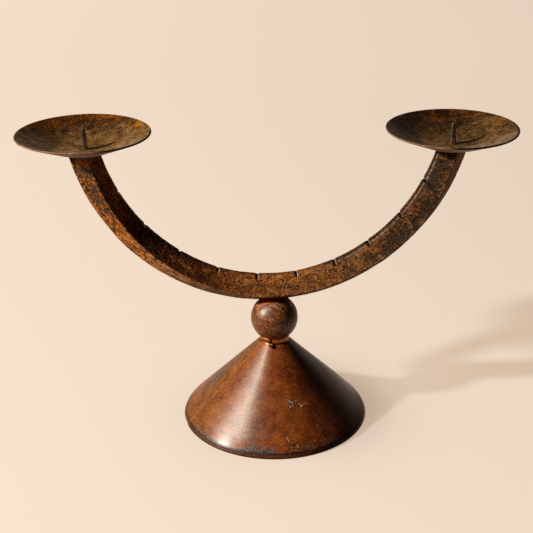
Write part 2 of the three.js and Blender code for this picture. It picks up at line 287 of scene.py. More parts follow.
camera = {
    "place": (-0.0151, -0.8596, 0.5107),
    "yaw": 0.868,      # degrees to the right of straight ahead
    "pitch": 23.913,   # degrees down
    "roll": 0.535,
    "lens": 81.55,
    "sensor": 36,
}


def placeObject(name, data, axes, place):
    # a camera or a lamp at a place, turned so that its own x, y and z run along the axes
    made = bpy.data.objects.new(name, data)
    scene.collection.objects.link(made)
    matrix = np.eye(4)
    matrix[:3, :3] = np.stack(axes, 1)
    matrix[:3, 3] = place
    made.matrix_world = Matrix(matrix.tolist())
    return made


def makeCamera(spec):
    # looks ahead by yaw and pitch, and is then rolled about that line
    yaw, pitch, roll = (math.radians(spec[k]) for k in ("yaw", "pitch", "roll"))
    ahead = np.array([math.sin(yaw) * math.cos(pitch), math.cos(yaw) * math.cos(pitch), -math.sin(pitch)])
    right = np.array([math.cos(yaw), -math.sin(yaw), 0])
    down = np.cross(ahead, right)
    turnedRight = right * math.cos(roll) + down * math.sin(roll)
    turnedDown = down * math.cos(roll) - right * math.sin(roll)
    data = bpy.data.cameras.new("camera")
    data.sensor_width = spec["sensor"]
    data.lens = spec["lens"]
    data.clip_start = 0.05
    data.clip_end = 50
    scene.camera = placeObject("camera", data, [turnedRight, -turnedDown, -ahead], spec["place"])


makeCamera(camera)
print("camera placed")


# Floor and light, in metres

studio = {
    "paperTone": (0.891, 0.722, 0.573),          # what the camera sees of the sweep near the candle holder
    "paperFades": (-0.26, -0.11, 0.10, 0.05),    # its change with x, y, xy and yy: a painted fall-off of light in the glow
    "fadesOverX": (-0.6, 0.9),                   # and how far it goes on changing
    "fadesOverY": (-0.4, 1.2),
    "paperPaint": (0.144, 0.162, 0.180),         # the share of light that the paper itself scatters back
    "paintGrows": (0.12, 0.21, 0.55),            # from this x to that x it grows by this share
    "footMiddle": 0.0038,                        # where the foot stands
    "footRadius": 0.074,
    "footShade": (0.07, 0.26, 0.020),            # painted shade: how much darker the paper glows against the foot, how much more on the shadow's side, and how far that reaches
                                                 # more on the shadow's side, and how far that reaches
    "shadowWay": (0.95, 0.32),                   # x and y of the way in which the foot's shadow falls
    "sweepColumns": 96,
    "sweepRings": 90,
    "sweepReach": 9.0,                           # flat as far as this
    "sweepCurve": 4.0,                           # and then up on a quarter circle of this radius
    "aimZ": 0.12,                                # height that the lamps aim at, over x = 0 and y = 0
    "keyFrom": (-1.68, -0.56, 1.0),
    "keyDistance": 2.2,
    "keySize": 0.12,
    "keyPower": 88,
    "keyTone": "#fff4e8",
    "streakFrom": (-0.599, -0.261, 0.758),       # softer lamp that draws the streak down the cone
    "streakDistance": 1.7,
    "streakSize": 0.26,
    "streakPower": 12.2,
    "streakTone": "#f6ffe6",
    "rearFrom": (0.5, 1.0, 0.55),
    "rearDistance": 1.8,
    "rearSize": 1.2,
    "rearPower": 0.8,
    "rearTone": "#ffe9d4",
    "airTone": "#f4ddc6",
    "airLevel": 0.022,                           # faint light from above
    "paperBounce": 0.56,                         # light that the paper throws back up from below
    "bounceFrom": (-0.10, -0.48),                # it starts and is full at these slopes under the horizon
    "sweepBehind": 0.3,                          # light of the pale sweep behind the candle holder
    "behindFrom": (0.35, 0.85),                  # it starts and is full at these shares of straight back
    "behindBelow": (0.50, 0.15),                 # and at these shares of straight up
}


def lampPlace(spec, lampName):
    # where a lamp hangs, and the direction back to it from what it aims at
    toward = np.array(spec[lampName + "From"])
    toward = toward / np.linalg.norm(toward)
    return toward * spec[lampName + "Distance"] + np.array([0, 0, spec["aimZ"]]), toward


def lampShare(spec, lampName, x, y):
    # Radiance that a lamp gives to white paper at a point: power / pi^2 * cosine at the lamp * cosine
    # at the floor / distance^2.
    lamp, toward = lampPlace(spec, lampName)
    path = np.stack([lamp[0] - x, lamp[1] - y, lamp[2] + 0 * x], -1)
    distance = np.linalg.norm(path, axis=-1)
    cosines = np.clip(path @ toward / distance, 0, 1) * np.clip(path[..., 2] / distance, 0, 1)
    return spec[lampName + "Power"] / math.pi ** 2 * cosines / distance ** 2


def sweepLight(spec, points):
    # What the paper gives off at each point and the share of light that it scatters back. It gives off
    # the wanted tone less what it scatters of the key light and the air, so that a shadow stays pale.
    x = np.clip(points[:, 0], *spec["fadesOverX"])
    y = np.clip(points[:, 1], *spec["fadesOverY"])
    fades = spec["paperFades"]
    level = 1 + fades[0] * x + fades[1] * y + fades[2] * x * y + fades[3] * y * y
    beside = points[:, 0] - spec["footMiddle"]
    fromAxis = np.hypot(beside, points[:, 1])
    wayX, wayY = spec["shadowWay"]
    onShadowSide = np.clip((beside * wayX + points[:, 1] * wayY) / np.maximum(fromAxis, 0.01), 0, 1)
    # painted shade: the glow is lowered against the foot, most on the shadow's side
    everywhere, behind, fadeReach = spec["footShade"]
    gone = np.exp(-np.clip(fromAxis - spec["footRadius"], 0, 1) / fadeReach)
    shade = 1 - (everywhere + behind * onShadowSide) * gone
    fromX, toX, growth = spec["paintGrows"]
    paint = np.array(spec["paperPaint"]) * (1 + growth * smoothStep(points[:, 0], fromX, toX))[:, None]
    lit = lampShare(spec, "key", points[:, 0], points[:, 1])
    given = lit[:, None] * np.array(linear(spec["keyTone"])[:3]) + spec["airLevel"]
    return level[:, None] * np.array(spec["paperTone"]) * shade[:, None] - given * paint, paint


def makeSweep(spec):
    # Paper sweep: rings about the candle holder, flat out to the reach and then on a quarter circle.
    angle = np.linspace(0, 2 * math.pi, spec["sweepColumns"], endpoint=False)
    flatRings = np.linspace(0.02, 1, spec["sweepRings"]) ** 2 * spec["sweepReach"]
    swing = np.linspace(0, math.pi / 2, 13)[1:]
    reach = np.concatenate([flatRings, spec["sweepReach"] + spec["sweepCurve"] * np.sin(swing)])
    rise = np.concatenate([0 * flatRings, spec["sweepCurve"] * (1 - np.cos(swing))])
    grid = onCircle(reach[:, None], angle, rise[:, None])
    points = np.concatenate([grid.reshape(-1, 3), [[0, 0, 0]]])
    blocks = (gridFaces(len(reach), len(angle)), fanFaces(np.arange(len(angle)), len(points) - 1, True))
    mesh = bpy.data.meshes.new("paperSweep")
    mesh.from_pydata(points.tolist(), [], [face for block in blocks for face in block[:, ::-1].tolist()])
    glow, paint = sweepLight(spec, points)
    for markName, values in (("glow", glow), ("paint", paint)):
        layer = mesh.attributes.new(markName, "FLOAT_COLOR", "POINT")
        withAlpha = np.concatenate([values, np.ones((len(values), 1))], 1)
        layer.data.foreach_set("color", np.ascontiguousarray(withAlpha, np.float32).ravel())
    mesh.shade_smooth()

    paper, tree = newMaterial("palePaperSweep")
    glowing = add(tree, "Attribute", {}, {"attribute_name": "glow"}, "Color")
    painted = add(tree, "Attribute", {}, {"attribute_name": "paint"}, "Color")
    shader = add(tree, "BsdfPrincipled", {
        "Base Color": painted, "Roughness": 1.0, "Specular IOR Level": 0.0,
        "Emission Color": glowing, "Emission Strength": 1.0})
    add(tree, "OutputMaterial", {"Surface": shader})
    mesh.materials.append(paper)
    sweep = bpy.data.objects.new("paperSweep", mesh)
    scene.collection.objects.link(sweep)
    # its own light would fill every shadow on the iron, so it only shows and takes shadows
    sweep.visible_diffuse = False
    sweep.visible_glossy = False


def makeLamp(spec, lampName):
    # a square lamp with two level sides, that faces what it aims at
    data = bpy.data.lights.new(lampName + "Light", "AREA")
    data.shape = "SQUARE"
    data.size = spec[lampName + "Size"]
    data.energy = spec[lampName + "Power"]
    data.color = linear(spec[lampName + "Tone"])[:3]
    place, toward = lampPlace(spec, lampName)
    side = np.cross([0, 0, 1], toward)
    side /= np.linalg.norm(side)
    return placeObject(lampName + "Light", data, [side, np.cross(toward, side), toward], place)


def makeAir(spec):
    # faint above the horizon, below it what the paper would throw back, and low at the back the pale
    # sweep, which the far edges mirror
    world = bpy.data.worlds.new("studioAir")
    scene.world = world
    world.use_nodes = True
    tree = world.node_tree
    tree.nodes.clear()
    where = add(tree, "TexCoord", give="Generated")
    upward = add(tree, "SeparateXYZ", {"Vector": where}, give="Z")
    rearward = add(tree, "SeparateXYZ", {"Vector": where}, give="Y")
    starts, full = spec["bounceFrom"]
    bounce = add(tree, "MapRange", {
        0: upward, 1: starts, 2: full, 3: spec["airLevel"], 4: spec["paperBounce"]})
    starts, full = spec["behindFrom"]
    behind = add(tree, "MapRange", {0: rearward, 1: starts, 2: full, 4: spec["sweepBehind"]})
    starts, full = spec["behindBelow"]
    low = add(tree, "MapRange", {0: upward, 1: starts, 2: full})
    strength = add(tree, "Math", {0: behind, 1: low, 2: bounce})
    air = add(tree, "Background", {"Color": spec["airTone"], "Strength": strength})
    add(tree, "OutputWorld", {"Surface": air})


makeSweep(studio)
makeLamp(studio, "key")
makeLamp(studio, "streak").visible_diffuse = False
makeLamp(studio, "rear")
makeAir(studio)
scene.view_settings.view_transform = "Standard"
scene.view_settings.look = "None"
print("floor and lights placed")


# Finishes

def makeRustedIron():
    # Forged mild steel bar, left rough from the hammer and browned by rust: it gives an orange-brown
    # field with dark grain, ragged islands of grey hammer scale with black borders, short strokes along
    # the bar, pits, and rubbed edges. Painted light and shade come in through the rust tone, a painted
    # grey sheen low on the left arm, and the notches' painted highlights and shade.
    made, tree, where, noises, marks = startFinish(
        "rustedForgedIron",
        [(19, 5, 0.6, 0), (8, 8, 0.68, 0.4), (2.6, 5, 0.74, 0), (1.1, 3, 0.7, 0), (8, 12, 0.8, 0.9)],
        ["rustToneAndPaintedShading", "oliveZone", "paintedGreySheen", "scaleBias", "worn", "paintedNotchShade", "flakeStep", "scratch",
         "fileStroke", "rustSpot"])
    broad, mottle, grain, fine, flakeNoise = noises
    tone, oliveZone, paintedGreySheen, scaleBias, worn, paintedNotchShade, flakeStep, scratch, fileStroke, spot = marks
    # the rust tone mark holds painted light and shade as well as the rust's own tone
    index = -1.55
    for part, weight in ((tone, 1), (mottle, 1.15), (grain, 0.95), (fine, 1)):
        index = add(tree, "Math", {0: part, 1: weight, 2: index})
    rust = add(tree, "ValToRGB", {"Fac": index}, stops=[
        (0.0, "#0d0501"), (0.2, "#2f1303"), (0.4, "#572b07"), (0.58, "#82460d"), (0.76, "#ad6420"),
        (1.0, "#d2904c")])
    olive = add(tree, "ValToRGB", {"Fac": index}, stops=[
        (0.0, "#0c0702"), (0.25, "#2e1d0c"), (0.45, "#563a1c"), (0.65, "#7b5630"), (0.85, "#a27b4b")])
    oliveShare = add(tree, "Math", {0: mottle, 1: 0.7, 2: broad})
    oliveShare = add(tree, "MapRange", {0: oliveShare, 1: 0.80, 2: 0.87, 3: 0.32, 4: 0.85})
    oliveShare = add(tree, "Math", {0: oliveShare, 1: oliveZone}, timesOf)
    colour = add(tree, "Mix", {0: oliveShare, 6: rust, 7: olive})
    # strokes of the hammer and the file, drawn out along the bar
    skin = add(tree, "UVMap", {}, {"uv_map": "laidFlat"})
    stroke = add(tree, "Mapping", {"Vector": skin, "Scale": (0.2, 1.0, 1.0)})
    stroke = add(tree, "TexNoise", {"Vector": stroke, "Scale": perMm / 1.7, "Detail": 4, "Roughness": 0.65})
    filed = add(tree, "Math", {0: stroke, 1: 1.5, 2: fileStroke})
    filed = add(tree, "MapRange", {0: filed, 1: 1.06, 2: 1.14, 4: 0.9})
    colour = layOver(tree, colour, [
        ("#a0806c", mottle, 0.36, 0.60, 1, paintedGreySheen),    # painted mauve-grey sheen low on the left arm
        ("#33221a", stroke, 0.53, 0.62, 0.55)])
    colour = add(tree, "Mix", {0: filed, 6: colour, 7: "#2a2019"})
    # islands of scale: slate painted lit where the rust tone is high, near black as painted shade where low
    flakeIndex = add(tree, "Math", {0: flakeNoise, 1: scaleBias}, sumOf)
    flake = add(tree, "MapRange", {0: flakeIndex, 1: 0.575, 2: 0.588})
    lit = add(tree, "MapRange", {0: tone, 1: 0.35, 2: 0.7})
    slate = add(tree, "Mix", {0: lit, 6: "#2b231a", 7: "#40352a"})
    bare = add(tree, "Mix", {0: lit, 6: "#3b2613", 7: "#785a3c"})
    slate = layOver(tree, slate, [
        (bare, grain, 0.53, 0.60, 0.6),
        ("#0f0a07", fine, 0.47, 0.38, 0.7)])
    # fresh rust follows the rust tone, so it too is painted lighter on lit faces and darker on shaded ones
    fresh = add(tree, "Mix", {0: tone, 6: "#6b3a0b", 7: "#e5993f"})
    freshIndex = add(tree, "Math", {0: spot, 1: 0.3, 2: fine})
    freshPlace = add(tree, "MapRange", {0: grain, 1: 0.44, 2: 0.54})
    seed = add(tree, "TexVoronoi", {"Vector": where, "Scale": perMm / 2.3})
    seedPlace = add(tree, "MapRange", {0: mottle, 1: 0.50, 2: 0.44})
    colour = layOver(tree, colour, [
        ("#150803", flakeIndex, 0.545, 0.568, 0.7),            # the islands' black border
        (slate, flakeIndex, 0.575, 0.588, 0.93),
        (fresh, freshIndex, 0.60, 0.66, 0.85, freshPlace),     # grains of fresh rust, thickest at a few spots
        (fresh, seed, 0.25, 0.15, 0.85, seedPlace),            # and larger round ones
        ("#100904", fine, 0.405, 0.355, 0.8)])                 # black grain
    # pits, and the broken edge of one large flake
    cell = add(tree, "TexVoronoi", {"Vector": where, "Scale": perMm / 3.4})
    pitPlace = add(tree, "MapRange", {0: mottle, 1: 0.39, 2: 0.49})
    pit = add(tree, "MapRange", {0: cell, 1: 0.31, 2: 0.20, 4: 0.92})
    pit = add(tree, "Math", {0: pit, 1: pitPlace}, timesOf)
    colour = add(tree, "Mix", {0: pit, 6: colour, 7: "#0f0c0a"})
    broken = add(tree, "Math", {0: grain, 1: 0.5, 2: flakeStep})
    broken = add(tree, "MapRange", {0: broken, 1: 0.96, 2: 1.03, 4: 0.9})
    colour = add(tree, "Mix", {0: broken, 6: colour, 7: "#0c0703"})
    # rubbed to the metal on the ridge and in thin scratches, a painted highlight on the notches' lit
    # walls, and painted shade on the rest of the notches
    rubAndNotchLight = add(tree, "MapRange", {0: grain, 1: 0.38, 2: 0.54})
    rubAndNotchLight = add(tree, "Math", {0: worn, 1: rubAndNotchLight}, timesOf)
    colour = add(tree, "Mix", {0: rubAndNotchLight, 6: colour, 7: "#ac9583"})
    thin = add(tree, "Math", {0: fine, 1: 0.4, 2: scratch})
    colour = layOver(tree, colour, [("#a87444", thin, 1.04, 1.10, 0.85)])
    # painted shade in the notches
    dark = add(tree, "Math", {0: paintedNotchShade, 1: 0.7}, timesOf)
    colour = add(tree, "Mix", {0: dark, 6: colour, 7: "#120803"})
    rough = add(tree, "MapRange", {0: grain, 1: 0.3, 2: 0.7, 3: 0.52, 4: 0.74}, evenly)
    rough = add(tree, "Mix", {0: rubAndNotchLight, 2: rough, 3: 0.42}, {"data_type": "FLOAT"}, 0)
    metal = add(tree, "Math", {0: rubAndNotchLight, 1: 0.35}, timesOf)
    relief = mottle
    for part, weight in ((grain, 1.1), (fine, 0.45), (flake, -0.35), (broken, -0.6), (pit, -0.6),
                         (filed, -0.3)):
        relief = add(tree, "Math", {0: part, 1: weight, 2: relief})
    return endFinish(made, tree, (relief, 0.75, 0.0007), {
        "Base Color": colour, "Metallic": metal, "Roughness": rough, "Specular IOR Level": 0.1})


def makeBrownedCopper():
    # Copper sheet, rolled up by hand, heat-browned and waxed: a satin brown under a thin clear film
    # that takes a whitish streak of light, with fine dark and orange specks, hair scratches round the
    # cone, a blued band along the foot and a rubbed bead. Painted shade darkens the front right, a painted
    # shadow and highlight run along the seam, grey at the cone's edges is painted as the backdrop's sheen,
    # and the crack's gold is a painted highlight.
    made, tree, where, noises, marks = startFinish(
        "waxedBrownCopperSheet",
        [(30, 7, 0.62, 0.5), (7, 8, 0.74, 0), (1.5, 4, 0.78, 0), (1.15, 2, 0.6, 0), (2.4, 5, 0.8, 0)],
        ["paintedSeamShadowAndHairline", "paintedSeamHighlight", "scar", "crack", "oxideAndPaintedSheen", "golden", "paintedRightShading"])
    broad, mottle, fine, specks, scarNoise = noises
    paintedSeamShadowAndHairline, paintedSeamHighlight, scar, crack, oxideAndPaintedSheen, golden, paintedRightShading = marks
    height = add(tree, "SeparateXYZ", {"Vector": where}, give="Z")
    # painted shade on the front right lowers the index
    index = -0.13
    for part, weight in ((broad, 0.38), (mottle, 0.42), (fine, 0.41), (paintedRightShading, -0.12)):
        index = add(tree, "Math", {0: part, 1: weight, 2: index})
    brown = add(tree, "ValToRGB", {"Fac": index}, stops=[
        (0.28, "#2a1004"), (0.38, "#4c1d06"), (0.46, "#70320b"), (0.52, "#83400e"), (0.59, "#954d12"),
        (0.68, "#a95f1c")])
    yellow = add(tree, "ValToRGB", {"Fac": index}, stops=[
        (0.3, "#251405"), (0.38, "#41240a"), (0.46, "#6a4210"), (0.56, "#895714"), (0.68, "#b27f2b")])
    colour = add(tree, "Mix", {0: golden, 6: brown, 7: yellow})
    skin = add(tree, "UVMap", {}, {"uv_map": "laidFlat"})
    around = add(tree, "Mapping", {"Vector": skin, "Scale": (0.06, 1.0, 1.0)})
    hair = add(tree, "TexNoise", {"Vector": around, "Scale": perMm / 1.6, "Detail": 3, "Roughness": 0.65})
    hairDepth = add(tree, "MapRange", {0: hair, 1: 0.64, 2: 0.70, 4: 0.35})
    oxideAndSheenShare = add(tree, "Math", {0: oxideAndPaintedSheen, 1: 0.3, 2: mottle})
    grey = layOver(tree, "#2a221c", [("#6a5f55", fine, 0.42, 0.6, 1)])
    # on the front right the grey is painted lighter, as the sheen at the cone's edge
    grey = add(tree, "Mix", {0: paintedRightShading, 6: grey, 7: "#85786b"})
    paintedEdgeHighlight = add(tree, "Math", {0: mottle, 1: 0.35, 2: paintedSeamHighlight})
    colour = layOver(tree, colour, [
        ("#220e05", fine, 0.39, 0.32, 0.7),              # dark grain
        ("#d68634", specks, 0.65, 0.69, 0.65),           # orange specks
        ("#3a1a0b", hair, 0.64, 0.70, 0.35),             # dark and light hair scratches
        ("#c48b58", hair, 0.35, 0.31, 0.3),
        (grey, oxideAndSheenShare, 0.52, 0.66, 1, oxideAndPaintedSheen),             # oxide above the lip, grey at the edges painted as sheen
        ("#160904", paintedSeamShadowAndHairline, 0.56, 0.70, 0.95),         # painted shadow under the upper sheet's edge, and hairlines
        ("#96704c", paintedEdgeHighlight, 0.88, 0.98, 0.85)])       # painted highlight on the edge itself
    # scars and cracks: bare metal in a dark outline, golden in the crack and to its right, else grey; the
    # gold in the crack is a painted highlight on its edges
    scarIndex = add(tree, "Math", {0: scarNoise, 1: 2.2, 2: scar})
    crackIndex = add(tree, "Math", {0: scarNoise, 1: 0.5, 2: crack})
    scarCore, crackCore, scarRim, crackRim = (
        add(tree, "MapRange", {0: source, 1: low, 2: high, 4: most})
        for source, low, high, most in ((scarIndex, 1.76, 1.82, 1), (crackIndex, 1.10, 1.16, 1),
                                        (scarIndex, 1.50, 1.60, 0.85), (crackIndex, 0.86, 0.96, 0.8)))
    core = add(tree, "Math", {0: scarCore, 1: crackCore}, largerOf)
    rim = add(tree, "Math", {0: scarRim, 1: crackRim}, largerOf)
    sideways = add(tree, "SeparateXYZ", {"Vector": where}, give="X")
    sideways = add(tree, "Math", {0: crackCore, 1: 0.012, 2: sideways})
    bare = layOver(tree, "#867b6c", [("#c08c50", sideways, 0.0175, 0.0195, 1)])
    colour = add(tree, "Mix", {0: rim, 6: colour, 7: "#200d05"})
    colour = add(tree, "Mix", {0: core, 6: colour, 7: bare})
    # the bead on the table is rubbed in patches, and darker towards the table and in the angle above it
    patchy = add(tree, "MapRange", {0: mottle, 1: 0.42, 2: 0.60, 4: 0.45})
    aboveBeadDark = add(tree, "MapRange", {0: height, 1: 0.0054, 2: 0.0042})
    colour = layOver(tree, colour, [
        ("#5a2c10", height, 0.0034, 0.0018, 1, patchy),
        ("#1e0e06", height, 0.0030, 0.0022, 0.6),
        ("#140804", height, 0.0028, 0.0035, 0.7, aboveBeadDark)])
    rough = add(tree, "MapRange", {0: mottle, 1: 0.3, 2: 0.7, 3: 0.40, 4: 0.56}, evenly)
    # the clear film is thinner near the table and on the upper cone
    film = add(tree, "MapRange", {0: height, 1: 0.004, 2: 0.015, 3: 0.36, 4: 1.0})
    thinner = add(tree, "MapRange", {0: height, 1: 0.016, 2: 0.050, 3: 1.0, 4: 0.72})
    film = add(tree, "Math", {0: film, 1: thinner}, timesOf)
    relief = mottle
    for part, weight in ((fine, 0.6), (core, 0.9), (rim, -0.8), (hairDepth, -0.6)):
        relief = add(tree, "Math", {0: part, 1: weight, 2: relief})
    return endFinish(made, tree, (relief, 0.10, 0.0005), {
        "Base Color": colour, "Metallic": 0.06, "Roughness": rough, "Specular IOR Level": 0.12,
        "Coat Weight": film, "Coat Roughness": 0.30})


def makeOlivePatina():
    # Copper sheet raised by hammer, with a thick olive-brown patina: matt and mottled inside, orange
    # where the back wall is rubbed, dark flecks where oxide has come off, a rubbed lip and a purplish
    # brown underside, which is painted light as its grazing sheen. Painted shade darkens the back left
    # wall and the lip at the near right, and the flecks carry a painted grey highlight.
    made, tree, _, noises, marks = startFinish(
        "olivePatinaCopper",
        [(20, 7, 0.68, 0.8), (6, 9, 0.76, 0.3), (1.5, 4, 0.76, 0), (3.6, 8, 0.8, 0.6)],
        ["worn", "warm", "under", "paintedWallShade", "fleck", "dusty", "lipShade"])
    broad, mottle, fine, fleckNoise = noises
    worn, warm, under, paintedWallShade, fleck, dusty, lipShade = marks
    index = -0.40
    for part, weight in ((mottle, 0.75), (broad, 0.45), (fine, 0.6), (paintedWallShade, -0.12)):
        index = add(tree, "Math", {0: part, 1: weight, 2: index})
    olive = add(tree, "ValToRGB", {"Fac": index}, stops=[
        (0.24, "#150b04"), (0.40, "#3c2812"), (0.52, "#624626"), (0.64, "#826136"), (0.78, "#a98550")])
    orange = add(tree, "ValToRGB", {"Fac": index}, stops=[
        (0.24, "#1a0a01"), (0.40, "#4c2706"), (0.52, "#78460c"), (0.65, "#a3631b"), (0.78, "#d08f3d")])
    warmIndex = add(tree, "Math", {0: warm, 1: 0.32, 2: broad})
    fleckIndex = add(tree, "Math", {0: fleck, 1: 0.14, 2: fleckNoise})
    fleckDepth = add(tree, "MapRange", {0: fleckIndex, 1: 0.605, 2: 0.635, 4: 0.85})
    paintedUnderSheen = layOver(tree, "#6b5142", [("#a08371", mottle, 0.4, 0.6, 1)])
    colour = layOver(tree, olive, [
        (orange, warmIndex, 0.56, 0.78, 1),
        ("#150d06", fleckIndex, 0.605, 0.635, 0.85),     # flecks are nearly black, with a painted grey highlight in the middle
        ("#453f38", fleckIndex, 0.665, 0.695, 0.6),
        ("#cb9048", fine, 0.64, 0.70, 0.6),              # light and dark grain
        ("#120a03", fine, 0.37, 0.30, 0.75),
        ("#99836a", mottle, 0.35, 0.60, 1, dusty)])
    # the underside is painted light purplish brown as its grazing sheen
    colour = add(tree, "Mix", {0: under, 6: colour, 7: paintedUnderSheen})
    # the lip: rubbed to reddish copper on the near left, painted near-black shade on the near right
    colour = layOver(tree, colour, [("#8e4e2e", fleckNoise, 0.40, 0.56, 0.85, worn)])
    colour = add(tree, "Mix", {0: lipShade, 6: colour, 7: "#0e0704"})
    rough = add(tree, "MapRange", {0: mottle, 1: 0.3, 2: 0.7, 3: 0.42, 4: 0.64}, evenly)
    relief = mottle
    for part, weight in ((fine, 0.5), (fleckDepth, -0.35)):
        relief = add(tree, "Math", {0: part, 1: weight, 2: relief})
    return endFinish(made, tree, (relief, 0.6, 0.0005), {
        "Base Color": colour, "Metallic": 0.05, "Roughness": rough, "Specular IOR Level": 0.09})


def makeBrownedBall():
    # Turned iron ball, oil-browned: a close mottle of brown, black and orange under a waxy gloss, with
    # a few thin scratches through it near the bar, and copper that ran down it from the braze.
    made, tree, _, noises, marks = startFinish(
        "oilBrownedIronBall", [(5, 8, 0.75, 0.6), (1.4, 4, 0.78, 0)], ["scratch", "brazed"])
    mottle, fine = noises
    scratch, brazed = marks
    index = -0.365
    for part, weight in ((mottle, 0.8), (fine, 0.95)):
        index = add(tree, "Math", {0: part, 1: weight, 2: index})
    colour = add(tree, "ValToRGB", {"Fac": index}, stops=[
        (0.37, "#120701"), (0.42, "#3d1e07"), (0.52, "#6a380d"), (0.62, "#8c5218"), (0.76, "#b87a34")])
    copper = layOver(tree, "#853a10", [("#dc8648", fine, 0.42, 0.62, 1)])
    ran = add(tree, "Math", {0: mottle, 1: 0.9, 2: brazed})
    thin = add(tree, "Math", {0: fine, 1: 0.4, 2: scratch})
    colour = layOver(tree, colour, [
        ("#dc8935", fine, 0.60, 0.66, 0.75),      # orange and black grain
        ("#120803", fine, 0.40, 0.33, 0.9),
        (copper, ran, 0.86, 1.05, 0.9),
        ("#b98d62", thin, 0.98, 1.05, 0.85)])
    rough = add(tree, "MapRange", {0: mottle, 1: 0.3, 2: 0.7, 3: 0.42, 4: 0.58}, evenly)
    relief = add(tree, "Math", {0: fine, 1: 1.1, 2: mottle})
    return endFinish(made, tree, (relief, 0.8, 0.0005), {
        "Base Color": colour, "Metallic": 0.05, "Roughness": rough, "Specular IOR Level": 0.14,
        "Coat Weight": 0.8, "Coat Roughness": 0.40})


def makeBrightCopper(name, deepTone, midTone, highTone):
    # Bare copper strip and braze, filed and heat-tinted: warm orange metal with darker tarnish.
    made, tree, _, (mottle, fine), _ = startFinish(name, [(3, 7, 0.7, 0.5), (0.9, 4, 0.7, 0)])
    colour = add(tree, "ValToRGB", {"Fac": mottle}, stops=[
        (0.32, deepTone), (0.5, midTone), (0.68, highTone)])
    colour = layOver(tree, colour, [("#24120a", fine, 0.38, 0.30, 0.75)])
    rough = add(tree, "MapRange", {0: mottle, 1: 0.3, 2: 0.7, 3: 0.26, 4: 0.42}, evenly)
    return endFinish(made, tree, (fine, 0.35, 0.0003), {
        "Base Color": colour, "Metallic": 0.85, "Roughness": rough})


def makeBlackIron():
    # Forge-blackened iron spike: near-black scale, greyer where it is rubbed, with brown rust breaking
    # through, most of it near the dish.
    made, tree, where, (mottle, fine), _ = startFinish(
        "blackenedForgedIron", [(2.4, 7, 0.72, 0), (0.8, 3, 0.7, 0)])
    height = add(tree, "SeparateXYZ", {"Vector": where}, give="Z")
    low = add(tree, "MapRange", {0: height, 1: 0.234, 2: 0.228, 4: 0.07}, evenly)
    index = add(tree, "Math", {0: mottle, 1: low}, sumOf)
    colour = add(tree, "ValToRGB", {"Fac": index}, stops=[
        (0.36, "#26211c"), (0.48, "#4a443d"), (0.60, "#6b5c4e"), (0.72, "#8a4d1e")])
    rough = add(tree, "MapRange", {0: mottle, 1: 0.3, 2: 0.7, 3: 0.28, 4: 0.46}, evenly)
    return endFinish(made, tree, (fine, 0.4, 0.0003), {
        "Base Color": colour, "Metallic": 0.5, "Roughness": rough})


def makePlainSteel():
    # Bright zinc-plated steel hardware, dulled under the foot: grey with faint blotches of bloom.
    made, tree, _, (bloom, fine), _ = startFinish("dulledZincSteel", [(5, 6, 0.6, 0), (0.7, 3, 0.6, 0)])
    colour = add(tree, "ValToRGB", {"Fac": bloom}, stops=[
        (0.35, "#6f6a62"), (0.55, "#8d8880"), (0.7, "#a8a39a")])
    colour = layOver(tree, colour, [("#7a5a3c", fine, 0.66, 0.74, 0.5)])
    rough = add(tree, "MapRange", {0: bloom, 1: 0.3, 2: 0.7, 3: 0.34, 4: 0.52}, evenly)
    return endFinish(made, tree, (fine, 0.15, 0.0002), {
        "Base Color": colour, "Metallic": 0.9, "Roughness": rough})


rustedIron = makeRustedIron()
brownedCopper = makeBrownedCopper()
olivePatina = makeOlivePatina()
brownedBall = makeBrownedBall()
collarCopper = makeBrightCopper("filedCopperStrip", "#7a3d16", "#b3662c", "#d98f4e")
brazeCopper = makeBrightCopper("copperBraze", "#8a4220", "#c9713e", "#f0aa78")
blackIron = makeBlackIron()
plainSteel = makePlainSteel()
print("finishes mixed:", len(bpy.data.materials))


# Foot: rolled cone of sheet

